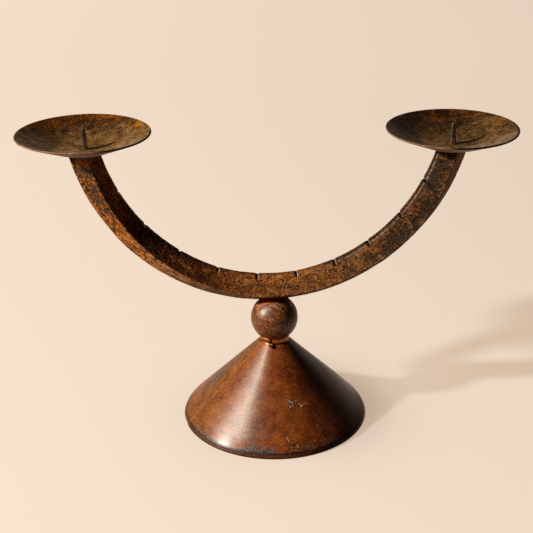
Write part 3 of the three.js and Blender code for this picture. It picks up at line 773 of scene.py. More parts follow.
foot = {
    "axisX": 3.8,
    "radius": 74,
    "topRadius": 12,
    "height": 66.5,
    "sheet": 1.2,
    "skirtHeight": 4.2,
    "skirtBlend": 12.4,
    "beadHeight": 2.4,
    "beadProud": 0.5,
    "seamAtTop": -158.7,    # bearing of the seam's edge at the top, in degrees from +x
    "seamAtFoot": -163,
    "lapWidth": 9,
    "lapGap": 0.12,
    "scarfEdge": 0.32,      # the lap is filed down to this at its edge
    "scarfRamp": 16,
    "veeBearing": -93,
    "veeWidth": 9,
    "veeDepth": 1.95,
    "veeSkew": 0.14,
    "veeFadesAt": 0.4,      # share of the way down at which the sheet is no longer slid down by the vee
    "dents": [(0.14, 27, 3), (0.049, 9, 4)],    # depth, size and seed of each kind of dent
    "dentsGrow": (2, 14),   # heights between which they grow to their full depth
    "beadInset": 0.35,      # how far inside the wall the bead's middle line lies
    "beadStarts": 60,       # degrees above level at which the bead leaves the wall
    "flankSteps": 78,
    "bendSteps": 14,
    "beadSteps": 8,
    "turns": 384,
    "closerTurns": (75, 55, 1.6),   # middle and width of the front, in degrees, and how much closer
    "extraTurns": [0.3, 0.6, 1.2, 1.8, 2.5],    # degrees from the seam's edges
    # chipped places on the front: x, y, z and reach
    "scars": [
        (12.7, -42.7, 34.4, 1.3), (14.6, -43.6, 33.1, 1.9), (16.1, -43.9, 32.4, 2.0),
        (16.8, -45.2, 30.9, 1.7), (14.9, -45.9, 30.7, 1.7), (19.3, -42.4, 32.8, 1.2),
        (21.6, -43.4, 31.1, 1.5), (23.1, -44.5, 29.5, 1.5), (24.0, -43.1, 30.4, 1.2),
        (26.4, -41.5, 30.8, 1.0), (25.8, -46.3, 26.9, 0.8), (14.4, -48.7, 28.1, 1.0),
        (15.1, -50.9, 25.8, 0.7), (16.5, -54.4, 22.1, 0.8), (34.8, -45.4, 23.0, 0.7),
        (32.2, -51.4, 19.4, 0.7), (35.3, -52.2, 17.2, 0.7), (26.5, -55.2, 18.3, 0.6),
        (30.0, -63.5, 9.0, 0.9), (32.4, -61.8, 9.6, 1.0), (37.2, -60.4, 8.7, 1.0), (18.2, -69.8, 6.0, 1.1)],
    "scarSpread": 1.12,
    "cracks": [
        [(10.1, -61.4, 16.1), (11.1, -63.5, 13.9), (12.6, -65.4, 11.8), (13.7, -66.9, 10.1),
         (14.4, -68.7, 8.1), (15.9, -70.1, 6.2), (16.2, -71.5, 4.4)],
        [(14.4, -68.7, 8.1), (16.8, -67.4, 9.0), (19.1, -66.9, 9.1), (19.8, -68.6, 7.0)]],
    "hairlines": [[(-40.3, -49.4, 11.6), (-35.6, -53.0, 11.9), (-31.7, -56.4, 11.2), (-27.8, -60.1, 9.8)]],
}


def footSideLine(spec):
    # Outer side as (radius, height): a straight flank, a quadratic bend into a short upright wall,
    # and the half-round bead on the table.
    wall = spec["radius"] - spec["beadProud"]
    top = np.array([spec["topRadius"], spec["height"]])
    corner = np.array([wall, spec["skirtHeight"]])
    knee = corner - (corner - top) / np.linalg.norm(corner - top) * spec["skirtBlend"]
    low = np.array([wall, spec["beadHeight"]])
    t = np.linspace(0, 1, spec["flankSteps"], endpoint=False)[:, None]
    flank = top + (knee - top) * (1.25 * t - 0.25 * t ** 2)
    t = np.linspace(0, 1, spec["bendSteps"])[:, None]
    bend = knee * (1 - t) ** 2 + corner * 2 * t * (1 - t) + low * t ** 2
    swing = np.radians(np.linspace(spec["beadStarts"], -90, spec["beadSteps"]))
    bead = np.stack([wall - spec["beadInset"] + (spec["beadProud"] + spec["beadInset"]) * np.cos(swing),
                     spec["beadHeight"] / 2 + spec["beadHeight"] / 2 * np.sin(swing)], 1)
    return np.concatenate([flank, bend, bead])


def footTurns(spec):
    # degrees round the foot from the seam's upper edge: closer together on the front, where the marks
    # are, and at both edges of the seam
    sweep = 360 + spec["lapWidth"]
    dense = np.linspace(0, 1, 4001)
    front, width, closer = spec["closerTurns"]
    weight = 1 + closer * hill(dense * sweep, front, width)
    run = np.concatenate([[0], np.cumsum((weight[1:] + weight[:-1]) / 2)])
    turn = np.interp(np.linspace(0, run[-1], spec["turns"]), run, dense) * sweep
    extra = np.array(spec["extraTurns"])
    return np.sort(np.concatenate([turn, extra, [360], 360 - extra]))


def footSheet(spec):
    # The side line is swung from one end of the sheet to the other, once for the outer layer and once,
    # deeper by the sheet's thickness, for the inner one. A row holds both, and strips close its ends.
    line = footSideLine(spec)
    turn = footTurns(spec)
    count = len(line)
    along = np.arange(count) / (count - 1)
    bearing = spec["seamAtTop"] + (spec["seamAtFoot"] - spec["seamAtTop"]) * along + turn[:, None]
    # outward normal of the side line, for the sheet's thickness and for the lap's dip
    slope = np.gradient(line, axis=0)
    slope /= np.linalg.norm(slope, axis=1)[:, None]
    out = np.stack([-slope[:, 1], slope[:, 0]], 1)
    # Scarfed lap: the upper end thins to a feather edge over the lap's width, and the lower end dips
    # by as much as it then has to pass under.
    filedAway = spec["sheet"] - spec["scarfEdge"]
    thickness = spec["scarfEdge"] + filedAway * np.clip(turn / spec["lapWidth"], 0, 1)
    dip = -((spec["scarfEdge"] + spec["lapGap"]) * smoothStep(turn, 360 - spec["scarfRamp"], 360)
            + filedAway * np.clip((turn - 360) / spec["lapWidth"], 0, 1))

    def layer(depth):
        # each point of the side line is slid down for the vee, sunk along its normal by the depth, and
        # swung to its bearing
        gap = wrapped(bearing - spec["veeBearing"])
        gap = np.radians(np.abs(gap + spec["veeSkew"] * gap ** 2 / 20)) * spec["topRadius"]
        start = np.clip(1 - gap / (spec["veeWidth"] / 2), 0, 1)
        start = start * spec["veeDepth"] / (spec["height"] - spec["skirtHeight"])
        fades = spec["veeFadesAt"]
        place = np.where(along < fades, start + (fades - start) * along / fades, along) * (count - 1)
        low = np.clip(np.floor(place).astype(int), 0, count - 2)
        part = (place - low)[..., None]
        flat = line[low] * (1 - part) + line[low + 1] * part
        normal = out[low] * (1 - part) + out[low + 1] * part
        flat = flat + normal * (dip - depth)[:, None, None]
        points = onCircle(flat[..., 0], np.radians(bearing), flat[..., 1])
        # slow dents along the flank's slant, faded out at the table so that the foot stands flat
        fade = smoothStep(points[..., 2], *spec["dentsGrow"])
        dent = cloudSum(points, spec["dents"]) * fade
        points = points + onCircle(dent, np.radians(bearing), dent * fade) + [spec["axisX"], 0, 0]
        points[:, -1, 2] = 0
        return points

    outer = layer(0 * thickness)
    inner = layer(thickness)
    grid = np.concatenate([outer, inner[:, ::-1]], 1)
    rows, columns = grid.shape[:2]
    k = np.arange(count - 1)
    strip = np.stack([k, k + 1, columns - 2 - k, columns - 1 - k], 1)
    faces = [gridFaces(rows, columns), strip[:, ::-1], strip + (rows - 1) * columns]
    down = lengthsAlong(line)
    down = np.concatenate([down, down[-1] * 2 - down[::-1], [down[-1] * 2]])
    uv = laidFlat(faces, rows, columns, np.radians(turn) * 50, down)
    marks = {name: np.concatenate([mark, mark[:, ::-1]], 1)
             for name, mark in footMarks(spec, outer, turn, wrapped(bearing)).items()}
    return grid, faces, marks, uv


def footMarks(spec, outer, turn, facing):
    # worked out on the outer layer, where facing is each point's bearing
    x, y, z = np.moveaxis(outer, -1, 0)
    away = np.hypot(x - spec["axisX"], y)
    fromEdge = np.radians(turn)[:, None] * away
    fromUnder = np.radians(360 - turn)[:, None] * away
    # painted shadow under the upper sheet's edge and a painted highlight along the edge; the hairlines join
    # the shadow
    paintedSeamShadowAndHairline = np.clip(1 - np.abs(fromUnder - 0.1) / lineFade, 0, 1)
    paintedSeamHighlight = np.clip(1 - np.abs(fromEdge - 0.2) / lineFade, 0, 1)
    paintedSeamShadowAndHairline = np.maximum(paintedSeamShadowAndHairline, 0.86 * linesMark(outer, spec["hairlines"]) * (y < -40))
    # scars where they are listed, and specks low on the right
    specks = hill(x, 36, 16) * hill(z, 13, 12) * (y < 0) * smoothStep(cloudNoise(outer, 1.7, 9), 0.60, 0.80)
    scar = np.maximum(0.62 * specks, spotsMark(outer, spec["scars"], spec["scarSpread"]))
    crack = linesMark(outer, spec["cracks"], 0.3 * cloudNoise(outer, 2.5, 8))
    # blue-grey oxide in a band above the lip; grey on the far right flank and on the back left,
    # painted as the pale backdrop's sheen at the cone's edges
    band = smoothStep(10 + 3 * cloudNoise(outer, 7, 12) - z, 0, 6) * smoothStep(z, 2.2, 3.6)
    band = band * (0.3 + 0.7 * hill(wrapped(facing + 118), 0, 48))
    rightFlank = 0.75 * hill(facing, 8, 27) * smoothStep(cloudNoise(outer, 16, 16), -0.4, 0.4)
    backLeft = 0.6 * smoothStep(np.abs(facing), 165, 178) * smoothStep(z, 12, 30)
    golden = hill(wrapped(facing + 172), 0, 34) * (0.55 + 0.45 * cloudNoise(outer, 18, 13)) + 0.04
    # painted shade on the front right, away from the key light, which also lightens the grey there
    paintedRightShading = smoothStep(facing, -80, -20) * smoothStep(-facing, -20, 40)
    paintedRightShading = paintedRightShading * (0.9 + 0.3 * cloudNoise(outer, 20, 17))
    return {"paintedSeamShadowAndHairline": paintedSeamShadowAndHairline, "paintedSeamHighlight": paintedSeamHighlight, "scar": scar, "crack": crack,
            "oxideAndPaintedSheen": np.max([band, rightFlank, backLeft], axis=0), "golden": np.clip(golden, 0, 1),
            "paintedRightShading": paintedRightShading}


footPoints, footFaces, footLooks, footUv = footSheet(foot)
makePiece("footConeSheet", footPoints, footFaces, brownedCopper, ["foot_cone"], 38,
          footLooks, footUv)
print("foot rolled:", footPoints.size // 3, "points")


# Neck: ball, collar and braze

neck = {
    "ballRadius": 18.6,
    "ballZ": 85.74,
    "boreRadius": 4.3,
    "boreTop": 81.75,
    "saddleZ": 99.85,       # height of the bar's lowest corner over the ball
    "frontRise": 55,        # degrees from level of the bar's front lower face
    "backRise": 35,
    "seatGap": 0.3,
    "pitDepth": 0.16,
    "pitNoise": [(0.5, 3.1, 21), (0.5, 1.4, 22)],   # strength, size and seed of each part
    "swell": 0.05,
    "steps": 144,
    "rows": 108,
    "topDegrees": 88.5,     # the last row of the sphere, before its pole
    "brazeRan": [
        [(-9.6, -3.2, 98.2), (-7.2, -6.2, 99.3), (-4.4, -7.2, 100.8), (-1.0, -7.6, 101.8), (4.0, -7.4, 102.4),
         (7.0, -6.6, 102.8)]],
    "scratches": [
        [(0.2, -10.4, 100.4), (5.7, -9.3, 101.4), (10.4, -9.7, 99.8), (13.5, -10.2, 97.4)],
        [(3.0, -10.6, 101.0), (8.0, -12.4, 98.5), (11.0, -14.1, 95.0)],
        [(8.4, -10.8, 99.6), (13.0, -13.0, 94.0)], [(11.8, -9.6, 99.0), (15.4, -10.8, 93.5)]],
}


def contactHeight(spec, bearing, radius):
    # elevation, from the ball's middle, at which a sphere of this radius meets the bar's lower faces:
    # a plane that rises away from the corner meets it at asin(h / (r sqrt(1 + q^2))) - atan(q)
    corner = spec["saddleZ"] - spec["ballZ"]
    found = []
    for rise, side in ((spec["frontRise"], 1), (spec["backRise"], -1)):
        q = side * np.sin(bearing) * math.tan(math.radians(rise))
        found.append(np.arcsin(np.clip(corner / (radius * np.sqrt(1 + q * q)), -1, 1)) - np.arctan(q))
    return np.maximum(*found)


def ballShell(spec):
    # Rows from the bore's end, down the bore, then up the sphere to its top. A point that would lie in
    # the bar is drawn back along its ray to the bar's nearer face, less the seat gap.
    turn = np.linspace(0, 2 * math.pi, spec["steps"], endpoint=False)
    radius = spec["ballRadius"]
    boreTop = spec["boreTop"] - spec["ballZ"]
    boreFoot = -math.sqrt(radius ** 2 - spec["boreRadius"] ** 2)
    saddle = spec["saddleZ"] - spec["ballZ"] - spec["seatGap"]
    bore = onCircle(spec["boreRadius"], turn, np.array([[boreTop], [0.5 * (boreTop + boreFoot)]]))
    lift = np.linspace(math.asin(boreFoot / radius), math.radians(spec["topDegrees"]), spec["rows"])[:, None]
    ray = onCircle(np.cos(lift), turn, np.sin(lift))
    sphere = ray * radius
    pits = cloudSum(sphere, spec["pitNoise"])
    away = radius - spec["pitDepth"] * smoothStep(pits, 0.15, 0.6) + spec["swell"] * cloudNoise(sphere, 9, 23)
    reaches = []
    for rise, side in ((spec["frontRise"], -1), (spec["backRise"], 1)):
        facing = ray[..., 2] - side * ray[..., 1] * math.tan(math.radians(rise))
        reaches.append(np.where(facing > 1e-6, saddle / np.maximum(facing, 1e-6), np.inf))
    away = np.minimum(away, np.maximum(*reaches))
    grid = np.concatenate([bore, ray * away[..., None]])
    points = np.concatenate([grid.reshape(-1, 3), [[0, 0, boreTop], [0, 0, saddle]]])
    points = points + np.array([foot["axisX"], 0, spec["ballZ"]])
    marks = {"scratch": linesMark(points, spec["scratches"]), "brazed": linesMark(points, spec["brazeRan"])}
    return points, cappedFaces(len(grid), len(turn)), marks


ballPoints, ballFaces, ballLooks = ballShell(neck)
makePiece("neckBallTurned", ballPoints, ballFaces, brownedBall, ["neck_ball"], 30, ballLooks)

braze = {
    "steps": 220,
    "across": 12,
    "reachOnBall": 1.3,
    "reachOnBar": 0.9,
    "bulge": 0.45,
    "ragged": [(0.45, 3.3, 31), (0.3, 1.3, 32)],    # strength, size and seed of each part
    "inside": 0.8,          # how far its hidden back lies in the ball
    "smear": 6.2,           # extra reach down the ball on the front left
    "smearBearing": -128,
    "smearWidth": 44,
}


def brazeBead(spec):
    # A closed bead along the line where ball and bar meet. Across it, the skin runs from the ball to
    # the bar, lifted by half a sine wave for the bulge, and closes inside them.
    radius = neck["ballRadius"]
    turn = np.linspace(0, 2 * math.pi, spec["steps"], endpoint=False)
    lift = contactHeight(neck, turn, radius)
    circle = onCircle(20, turn, 0)
    rough = 1 + cloudSum(circle, spec["ragged"])
    smear = spec["smear"] * hill(wrapped(np.degrees(turn) - spec["smearBearing"]), 0, spec["smearWidth"])
    smear = smear * (1 + 0.35 * cloudNoise(circle, 2.2, 33))
    reach = (spec["reachOnBall"] * rough + smear) / radius
    t = np.linspace(0, 1, spec["across"])[:, None]
    angle = lift + spec["reachOnBar"] * rough / radius * t * 1.5 - reach * (1 - t)
    away = radius + spec["bulge"] * rough * np.sin(math.pi * (0.12 + 0.8 * t)) + 0.9 * t ** 2
    t = np.array([[0.8], [0.4]])
    angle = np.concatenate([angle, lift - reach * (1 - t) * 0.8])
    away = np.concatenate([away, np.full((2, len(turn)), radius - spec["inside"])])
    grid = onCircle(away * np.cos(angle), turn, away * np.sin(angle)).transpose(1, 0, 2)
    points = grid + np.array([foot["axisX"], 0, neck["ballZ"]])
    return points, [gridFaces(*grid.shape[:2], True)]


brazePoints, brazeFaces = brazeBead(braze)
makePiece("saddleBrazeBead", brazePoints, brazeFaces, brazeCopper, ["saddle_braze"], 60)

collar = {
    "outerRadius": 11.8,
    "wall": 1.5,
    "middleZ": 69.0,
    "height": 4.4,
    "narrowest": 0.74,      # share of the height at the split's left end
    "widens": 0.2,
    "splitBearing": -104,
    "splitHalf": math.degrees(0.7 / 11.8),      # half of a gap of 1.4 mm, in degrees
    "frontLift": 0.8,       # the whole strip is cocked up at the front
    "corners": 0.45,
    "steps": 150,
    "seed": 41,
}

neckBraze = {
    "outerRadius": 10.6,
    "wall": 2.0,
    "middleZ": 65.0,
    "height": 3.0,
    "narrowest": 1,
    "widens": 0,
    "splitBearing": -91,    # its ends stop on either side of the vee
    "splitHalf": 7,
    "frontLift": 0,
    "corners": 0.9,
    "steps": 130,
    "seed": 47,
}


def bentStrip(spec):
    # A strip with a rounded-rectangle section (cos and sin raised to a power under one) bent round the
    # neck from one side of its split to the other. Near each end the section draws in on a quarter circle.
    radius = spec["outerRadius"]
    sweep = 360 - 2 * spec["splitHalf"]
    ending = np.array([0, 0.6, 1.6, 3])
    turn = np.concatenate([ending, np.linspace(5, sweep - 5, spec["steps"]), sweep - ending[::-1]])[:, None]
    bearing = np.radians(spec["splitBearing"] + spec["splitHalf"] + turn)
    fromEnd = np.radians(np.minimum(turn, sweep - turn)) * radius
    shrink = np.sqrt(np.clip(1 - (1 - np.clip(fromEnd / 0.8, 0, 1)) ** 2, 0.1, 1))
    swing = np.linspace(0, 2 * math.pi, 28, endpoint=False)
    across = np.sign(np.cos(swing)) * np.abs(np.cos(swing)) ** spec["corners"]
    upward = np.sign(np.sin(swing)) * np.abs(np.sin(swing)) ** spec["corners"]
    track = onCircle(radius, bearing, 0)
    middleZ = spec["middleZ"] + spec["frontLift"] * (0.5 - 0.5 * np.sin(bearing))
    share = spec["narrowest"] + spec["widens"] * smoothStep(np.cos(np.radians(turn / 2)), -0.4, 0.9)
    z = middleZ + upward * spec["height"] * share / 2 * shrink + 0.14 * cloudNoise(track, 4, spec["seed"])
    out = radius - spec["wall"] / 2 + across * spec["wall"] / 2 * (0.6 + 0.4 * shrink)
    out = out + 0.1 * cloudNoise(track, 3, spec["seed"] + 1)
    grid = onCircle(out, bearing, z)
    rough = 0.07 * cloudNoise(grid, 1.6, spec["seed"] + 2)[..., None] * (grid * [1, 1, 0]) / radius
    points = np.concatenate([(grid + rough).reshape(-1, 3), grid[[0, -1]].mean(1)]) + [foot["axisX"], 0, 0]
    return points, cappedFaces(len(grid), len(swing))


collarPoints, collarFaces = bentStrip(collar)
makePiece("neckCollarStrip", collarPoints, collarFaces, collarCopper, ["neck_collar"], 50)
runPoints, runFaces = bentStrip(neckBraze)
makePiece("neckBrazeRun", runPoints, runFaces, brazeCopper, [], 60)
print("neck set: ball, braze and collar")


# Bow: forged square bar

bow = {
    "semiWidth": 142.27,
    "semiHeight": 153.4,
    "centreZ": 266.39,
    "offset": 0.6,
    "skew": 2.8,
    "endTurn": 15.344,
    "endZ": 225.8,
    "endEase": 13,          # length over which the ends are slid level
    "side": 18.6,
    "cornerFlat": 1.1,
    "innerFlat": 5.4,       # width of the planed corner
    "lean": -10,
    "twist": 26.4,
    "twistBend": 9.7,
    "notchTurns": [27.4, 40.6, 54.2, 66.8, 80.0, 93.2, 106.8, 120.8, 135.6, 149.2],
    "notchDepths": [2.6, 2.6, 2.8, 2.9, 2.9, 2.7, 2.5, 2.3, 1.7, 1.6],
    "notchWidth": 3.5,
    "notchSlant": 0.03,
    "cornerSoftness": 0.45,
    "sectionPoints": 112,
    "rows": 430,
    "hammer": 0.24,
    "swells": [(1, 19, 51), (0.5, 8, 52), (0.25, 3.2, 53)],     # strength, size and seed of each part
    "pits": 0.18,
    "pitNoise": [(0.6, 2.6, 54), (0.4, 1.2, 55)],
    # how far the front corner was hammered outwards, and at which turns
    "drawTurns": [15, 22, 32, 40, 55, 75, 92, 112],
    "drawReach": [0, 0.6, 2.6, 2.9, 2.2, 2.0, 2.0, 0],
    "boreRadius": 1.9,
    "boreLength": 14.3,
    # where hammer scale has stayed: x, y, z and reach
    "scalePatches": [
        (-139.5, -6.5, 209.7, 5), (-132.6, -11.2, 210.1, 4), (-130.7, -9.2, 197.5, 8),
        (-127.3, -9.5, 191.2, 6.5), (-122.5, -9.9, 183.2, 5), (-110.9, -9.5, 164.2, 3.5),
        (-95.6, -11.1, 148.9, 4.5), (-88, -11, 141, 3.5), (128.7, -7.8, 213.6, 6), (124.1, -8.4, 200.4, 8),
        (121.4, -12.2, 181.9, 8), (117.9, -12.1, 175.4, 6), (112, -11.8, 168, 6), (103.4, -11.6, 159.1, 9),
        (98.3, -11.2, 154.9, 7), (92.4, -10.7, 150.6, 7), (78.9, -10.8, 140.0, 4.5), (62, -10.4, 131, 3.5)],
    "patchSpread": 1.2,
    # the broken edge of a large flake, scratches, and spots of fresh rust with their reach
    "flakeEdges": [
        [(120.3, -7.0, 198.2), (123.4, -9.5, 194.5), (124.2, -10.5, 191.6), (127.2, -11.7, 188.3),
         (121.5, -11.8, 180.9), (117.2, -10.7, 177.3), (112.3, -9.7, 172.9), (109.4, -9.5, 169.6)]],
    "scratches": [
        [(-88, -8.5, 151), (-84, -7.2, 147), (-76.2, -7, 143.5), (-72.5, -8.9, 138.4)],
        [(-80, -8.6, 143), (-72.5, -7.4, 141), (-65, -8.2, 134.6)],
        [(-76, -9.5, 138), (-70, -7, 139.5), (-66, -6, 138)],
        [(-72, -9.5, 134.5), (-65, -8.2, 134.6), (-58.9, -9.3, 130)],
        [(-63, -6.5, 135.5), (-60, -9.5, 129.5)]],
    "rustSpots": [(113.9, -9.8, 177.8, 1.3), (-141.9, -6.4, 216.8, 2.2), (-133.5, -11.9, 217.4, 1.6)],
    "strokeSeed": 11,
    "strokeCount": 105,
    "strokeRun": (225, 385),    # millimetres along the bar from its right end
    # tones of the rust, from 0 black to 1 orange, and the share of olive, at shares of the way from the
    # middle of the bow to its ends: -1 is under the right dish and 1 under the left one. The tones also
    # hold painted light and shade: lighter low on the left arm's outer face, darker on its inner front face.
    "outerTonesWithPaintedLight": [(-0.1, 0.50), (0.2, 0.67), (0.35, 0.84), (0.5, 0.84), (0.7, 0.69), (0.9, 0.64)],
    "innerTonesWithPaintedShade": [(-1, 0.36), (-0.7, 0.40), (-0.45, 0.50), (-0.2, 0.57), (0, 0.55), (0.15, 0.52),
                   (0.35, 0.34), (0.5, 0.25), (0.7, 0.50), (0.85, 0.58), (1, 0.53)],
    "oliveShares": [(-0.5, 1), (-0.15, 0.5), (0.1, 0.35), (0.3, 0)],
}


def bowPlace(spec, turnDegrees):
    # Centre line: half an ellipse whose lowest part is pulled to the left by skew times sin^2.
    # The section's axes start as outward and front, and are rolled by lean, twist and twist bend.
    turn = np.radians(turnDegrees)
    zero = np.zeros(len(turn))
    centre = np.stack([spec["offset"] + spec["semiWidth"] * np.cos(turn) - spec["skew"] * np.sin(turn) ** 2,
                       zero, spec["centreZ"] - spec["semiHeight"] * np.sin(turn)], 1)
    along = np.stack([-spec["semiWidth"] * np.sin(turn) - spec["skew"] * np.sin(2 * turn),
                      zero, -spec["semiHeight"] * np.cos(turn)], 1)
    along /= np.linalg.norm(along, axis=1)[:, None]
    outward = np.stack([-along[:, 2], zero, along[:, 0]], 1)
    share = (turnDegrees - 90) / (90 - spec["endTurn"])
    roll = np.radians(spec["lean"] + spec["twist"] / 2 * share + spec["twistBend"] * share ** 2)[:, None]
    front = np.array([[0, -1, 0]])
    outer = outward * np.cos(roll) + front * np.sin(roll)
    face = front * np.cos(roll) - outward * np.sin(roll)
    return centre, along, outer, face


def barSection(spec):
    # Square on its corner with three worn corners and one planed one, rounded by a rolling average,
    # and sampled more closely near the corners. Returns points, outward normals and nearness to a corner.
    reach = spec["side"] * math.sqrt(0.5)
    a = spec["cornerFlat"] / 2
    b = spec["innerFlat"] / 2
    corners = np.array([(reach - a, -a), (reach - a, a), (a, reach - a), (-a, reach - a),
                        (b - reach, b), (b - reach, -b), (-a, a - reach), (a, a - reach)])
    step = 0.05
    lines = []
    for p, q in zip(corners, np.roll(corners, -1, 0)):
        n = max(2, int(np.linalg.norm(q - p) / step))
        lines.append(p + (q - p) * (np.arange(n) / n)[:, None])
    dense = np.concatenate(lines)
    width = spec["cornerSoftness"] / step
    window = hill(np.arange(-int(3 * width), int(3 * width) + 1), 0, width * math.sqrt(2))
    window /= window.sum()
    pad = len(window) // 2
    padded = np.concatenate([dense[-pad:], dense, dense[:pad]])
    soft = np.stack([np.convolve(padded[:, k], window, "valid") for k in (0, 1)], 1)
    nearest = np.min(np.linalg.norm(soft[:, None] - corners[None], axis=2), axis=1)
    density = 1 / (0.22 + 0.75 * np.clip(nearest / 3.5, 0, 1))
    run = np.concatenate([[0], np.cumsum(density)])
    pick = np.interp(np.linspace(0, run[-1], spec["sectionPoints"], endpoint=False), run, np.arange(len(run)))
    index = np.arange(len(soft) + 1)
    table = np.concatenate([np.column_stack([soft, nearest]), [[*soft[0], nearest[0]]]])
    picked = np.stack([np.interp(pick, index, table[:, k]) for k in (0, 1, 2)], 1)
    points = picked[:, :2]
    tangent = np.roll(points, -1, 0) - np.roll(points, 1, 0)
    tangent /= np.linalg.norm(tangent, axis=1)[:, None]
    return points, np.stack([tangent[:, 1], -tangent[:, 0]], 1), picked[:, 2]


def bowTurns(spec):
    # Rows about 0.9 mm apart, and rows exactly on each notch's edges and bottom in place of any that are
    # close to them. Also returns half a notch's width in degrees.
    base = np.linspace(spec["endTurn"], 180 - spec["endTurn"], spec["rows"])
    pitch = math.radians(1) * (spec["semiWidth"] + spec["semiHeight"]) / 2
    halfTurn = spec["notchWidth"] / 2 / pitch
    shares = np.array([-1.06, -1, -0.66, -0.33, 0, 0.33, 0.66, 1, 1.06])
    cuts = (np.array(spec["notchTurns"])[:, None] + halfTurn * shares).ravel()
    clear = np.min(np.abs(base[:, None] - cuts[None]), axis=1) > 0.1
    clear[[0, -1]] = True
    return np.sort(np.concatenate([base[clear], cuts])), halfTurn


def bowBar(spec):
    # The section is carried along the bow, hammered, notched, cut level at the ends and bored there.
    section, normal, fromCorner = barSection(spec)
    turn, halfTurn = bowTurns(spec)
    centre, along, outer, face = bowPlace(spec, turn)
    rows = len(turn)
    columns = len(section)
    cornerReach = spec["side"] * math.sqrt(0.5)
    flatReach = cornerReach - spec["innerFlat"] / 2

    def place(px, py):
        return centre[:, None] + outer[:, None] * px[..., None] + face[:, None] * py[..., None]

    # front corner drawn outwards: a shear of the front half that grows with nearness to that corner
    drawn = np.interp(turn, spec["drawTurns"], spec["drawReach"])[:, None]
    y = np.repeat(section[None, :, 1], rows, 0)
    x = section[None, :, 0] + drawn * smoothStep(y, 3, cornerReach)
    plain = place(x, y)
    # hammer work: slow swells and smaller facets, and pits where a finer noise is high, less at the ends
    fromEnds = np.minimum(turn - spec["endTurn"], 180 - spec["endTurn"] - turn)[:, None]
    swell = cloudSum(plain, spec["swells"])
    pitted = smoothStep(cloudSum(plain, spec["pitNoise"]), 0.3, 0.62)
    depth = spec["hammer"] * swell - spec["pits"] * pitted
    depth = depth * (0.4 + 0.6 * smoothStep(fromEnds, 0, 4))
    x = x + normal[:, 0] * depth
    y = y + normal[:, 1] * depth
    # Notches: no point may lie further in than the vee's sloping sides. The wall that faces the key
    # light is marked for a painted highlight, and the rest of the vee for painted shade.
    shadedCut = np.zeros((rows, columns))
    litCut = np.zeros((rows, columns))
    for k, (at, deep) in enumerate(zip(spec["notchTurns"], spec["notchDepths"])):
        offset = (turn - at)[:, None] / halfTurn - spec["notchSlant"] * math.sin(1.7 * k) * y
        cut = deep * np.clip(1 - np.abs(offset), 0, 1)
        limit = np.where(cut > 0, cut - flatReach, -np.inf)
        shaded = smoothStep(offset, -0.5, -0.15)
        shadedCut = np.maximum(shadedCut, smoothStep(limit - x, 0.0, 1.2) * shaded)
        litCut = np.maximum(litCut, smoothStep(limit - x, 0.0, 0.5) * (1 - shaded))
        x = np.maximum(x, limit)
    points = place(x, y)
    run = lengthsAlong(centre)
    marks = bowMarks(spec, section, fromCorner, turn, run, plain, points, shadedCut, litCut)
    # ends: slide along the bar until the last row is level under its dish, easing out on the way
    for end, distance in ((0, run), (-1, run[-1] - run)):
        slide = (spec["endZ"] - points[end, :, 2]) / along[end, 2]
        weight = 1 - np.clip(distance / spec["endEase"], 0, 1)
        points = points + along[:, None] * (weight[:, None] * slide[None, :])[..., None]
    # bores for the tenons: a ring at each end with as many points as the section, and one at its floor
    bores = []
    for end, side in ((0, 1), (-1, -1)):
        middle = np.array([side * dishSpacing / 2 + spikeOffset, 0, 0])
        around = np.arctan2(points[end, :, 1], points[end, :, 0] - middle[0])
        bores.append(onCircle(spec["boreRadius"], around, spec["endZ"]) + middle)
        bores.append(onCircle(spec["boreRadius"], around, spec["endZ"] - spec["boreLength"]) + middle)
        bores.append(middle + [0, 0, spec["endZ"] - spec["boreLength"]])
    rightRing, rightFloor, rightMiddle, leftRing, leftFloor, leftMiddle = bores
    grid = np.concatenate([[rightFloor, rightRing], points, [leftRing, leftFloor]])
    faces = cappedFaces(len(grid), columns)
    # the marks are 0 in the bores
    hidden = np.zeros(2 * columns)
    marks = {name: np.concatenate([hidden, np.broadcast_to(mark, (rows, columns)).ravel(), hidden, [0, 0]])
             for name, mark in marks.items()}
    lengthwise = np.concatenate([[-2, -1], run, run[-1] + [1, 2]])
    around = lengthsAlong(np.concatenate([section, section[:1]]))
    uv = laidFlat(faces, len(grid), columns, lengthwise, around)
    return np.concatenate([grid.reshape(-1, 3), [rightMiddle, leftMiddle]]), faces, marks, uv


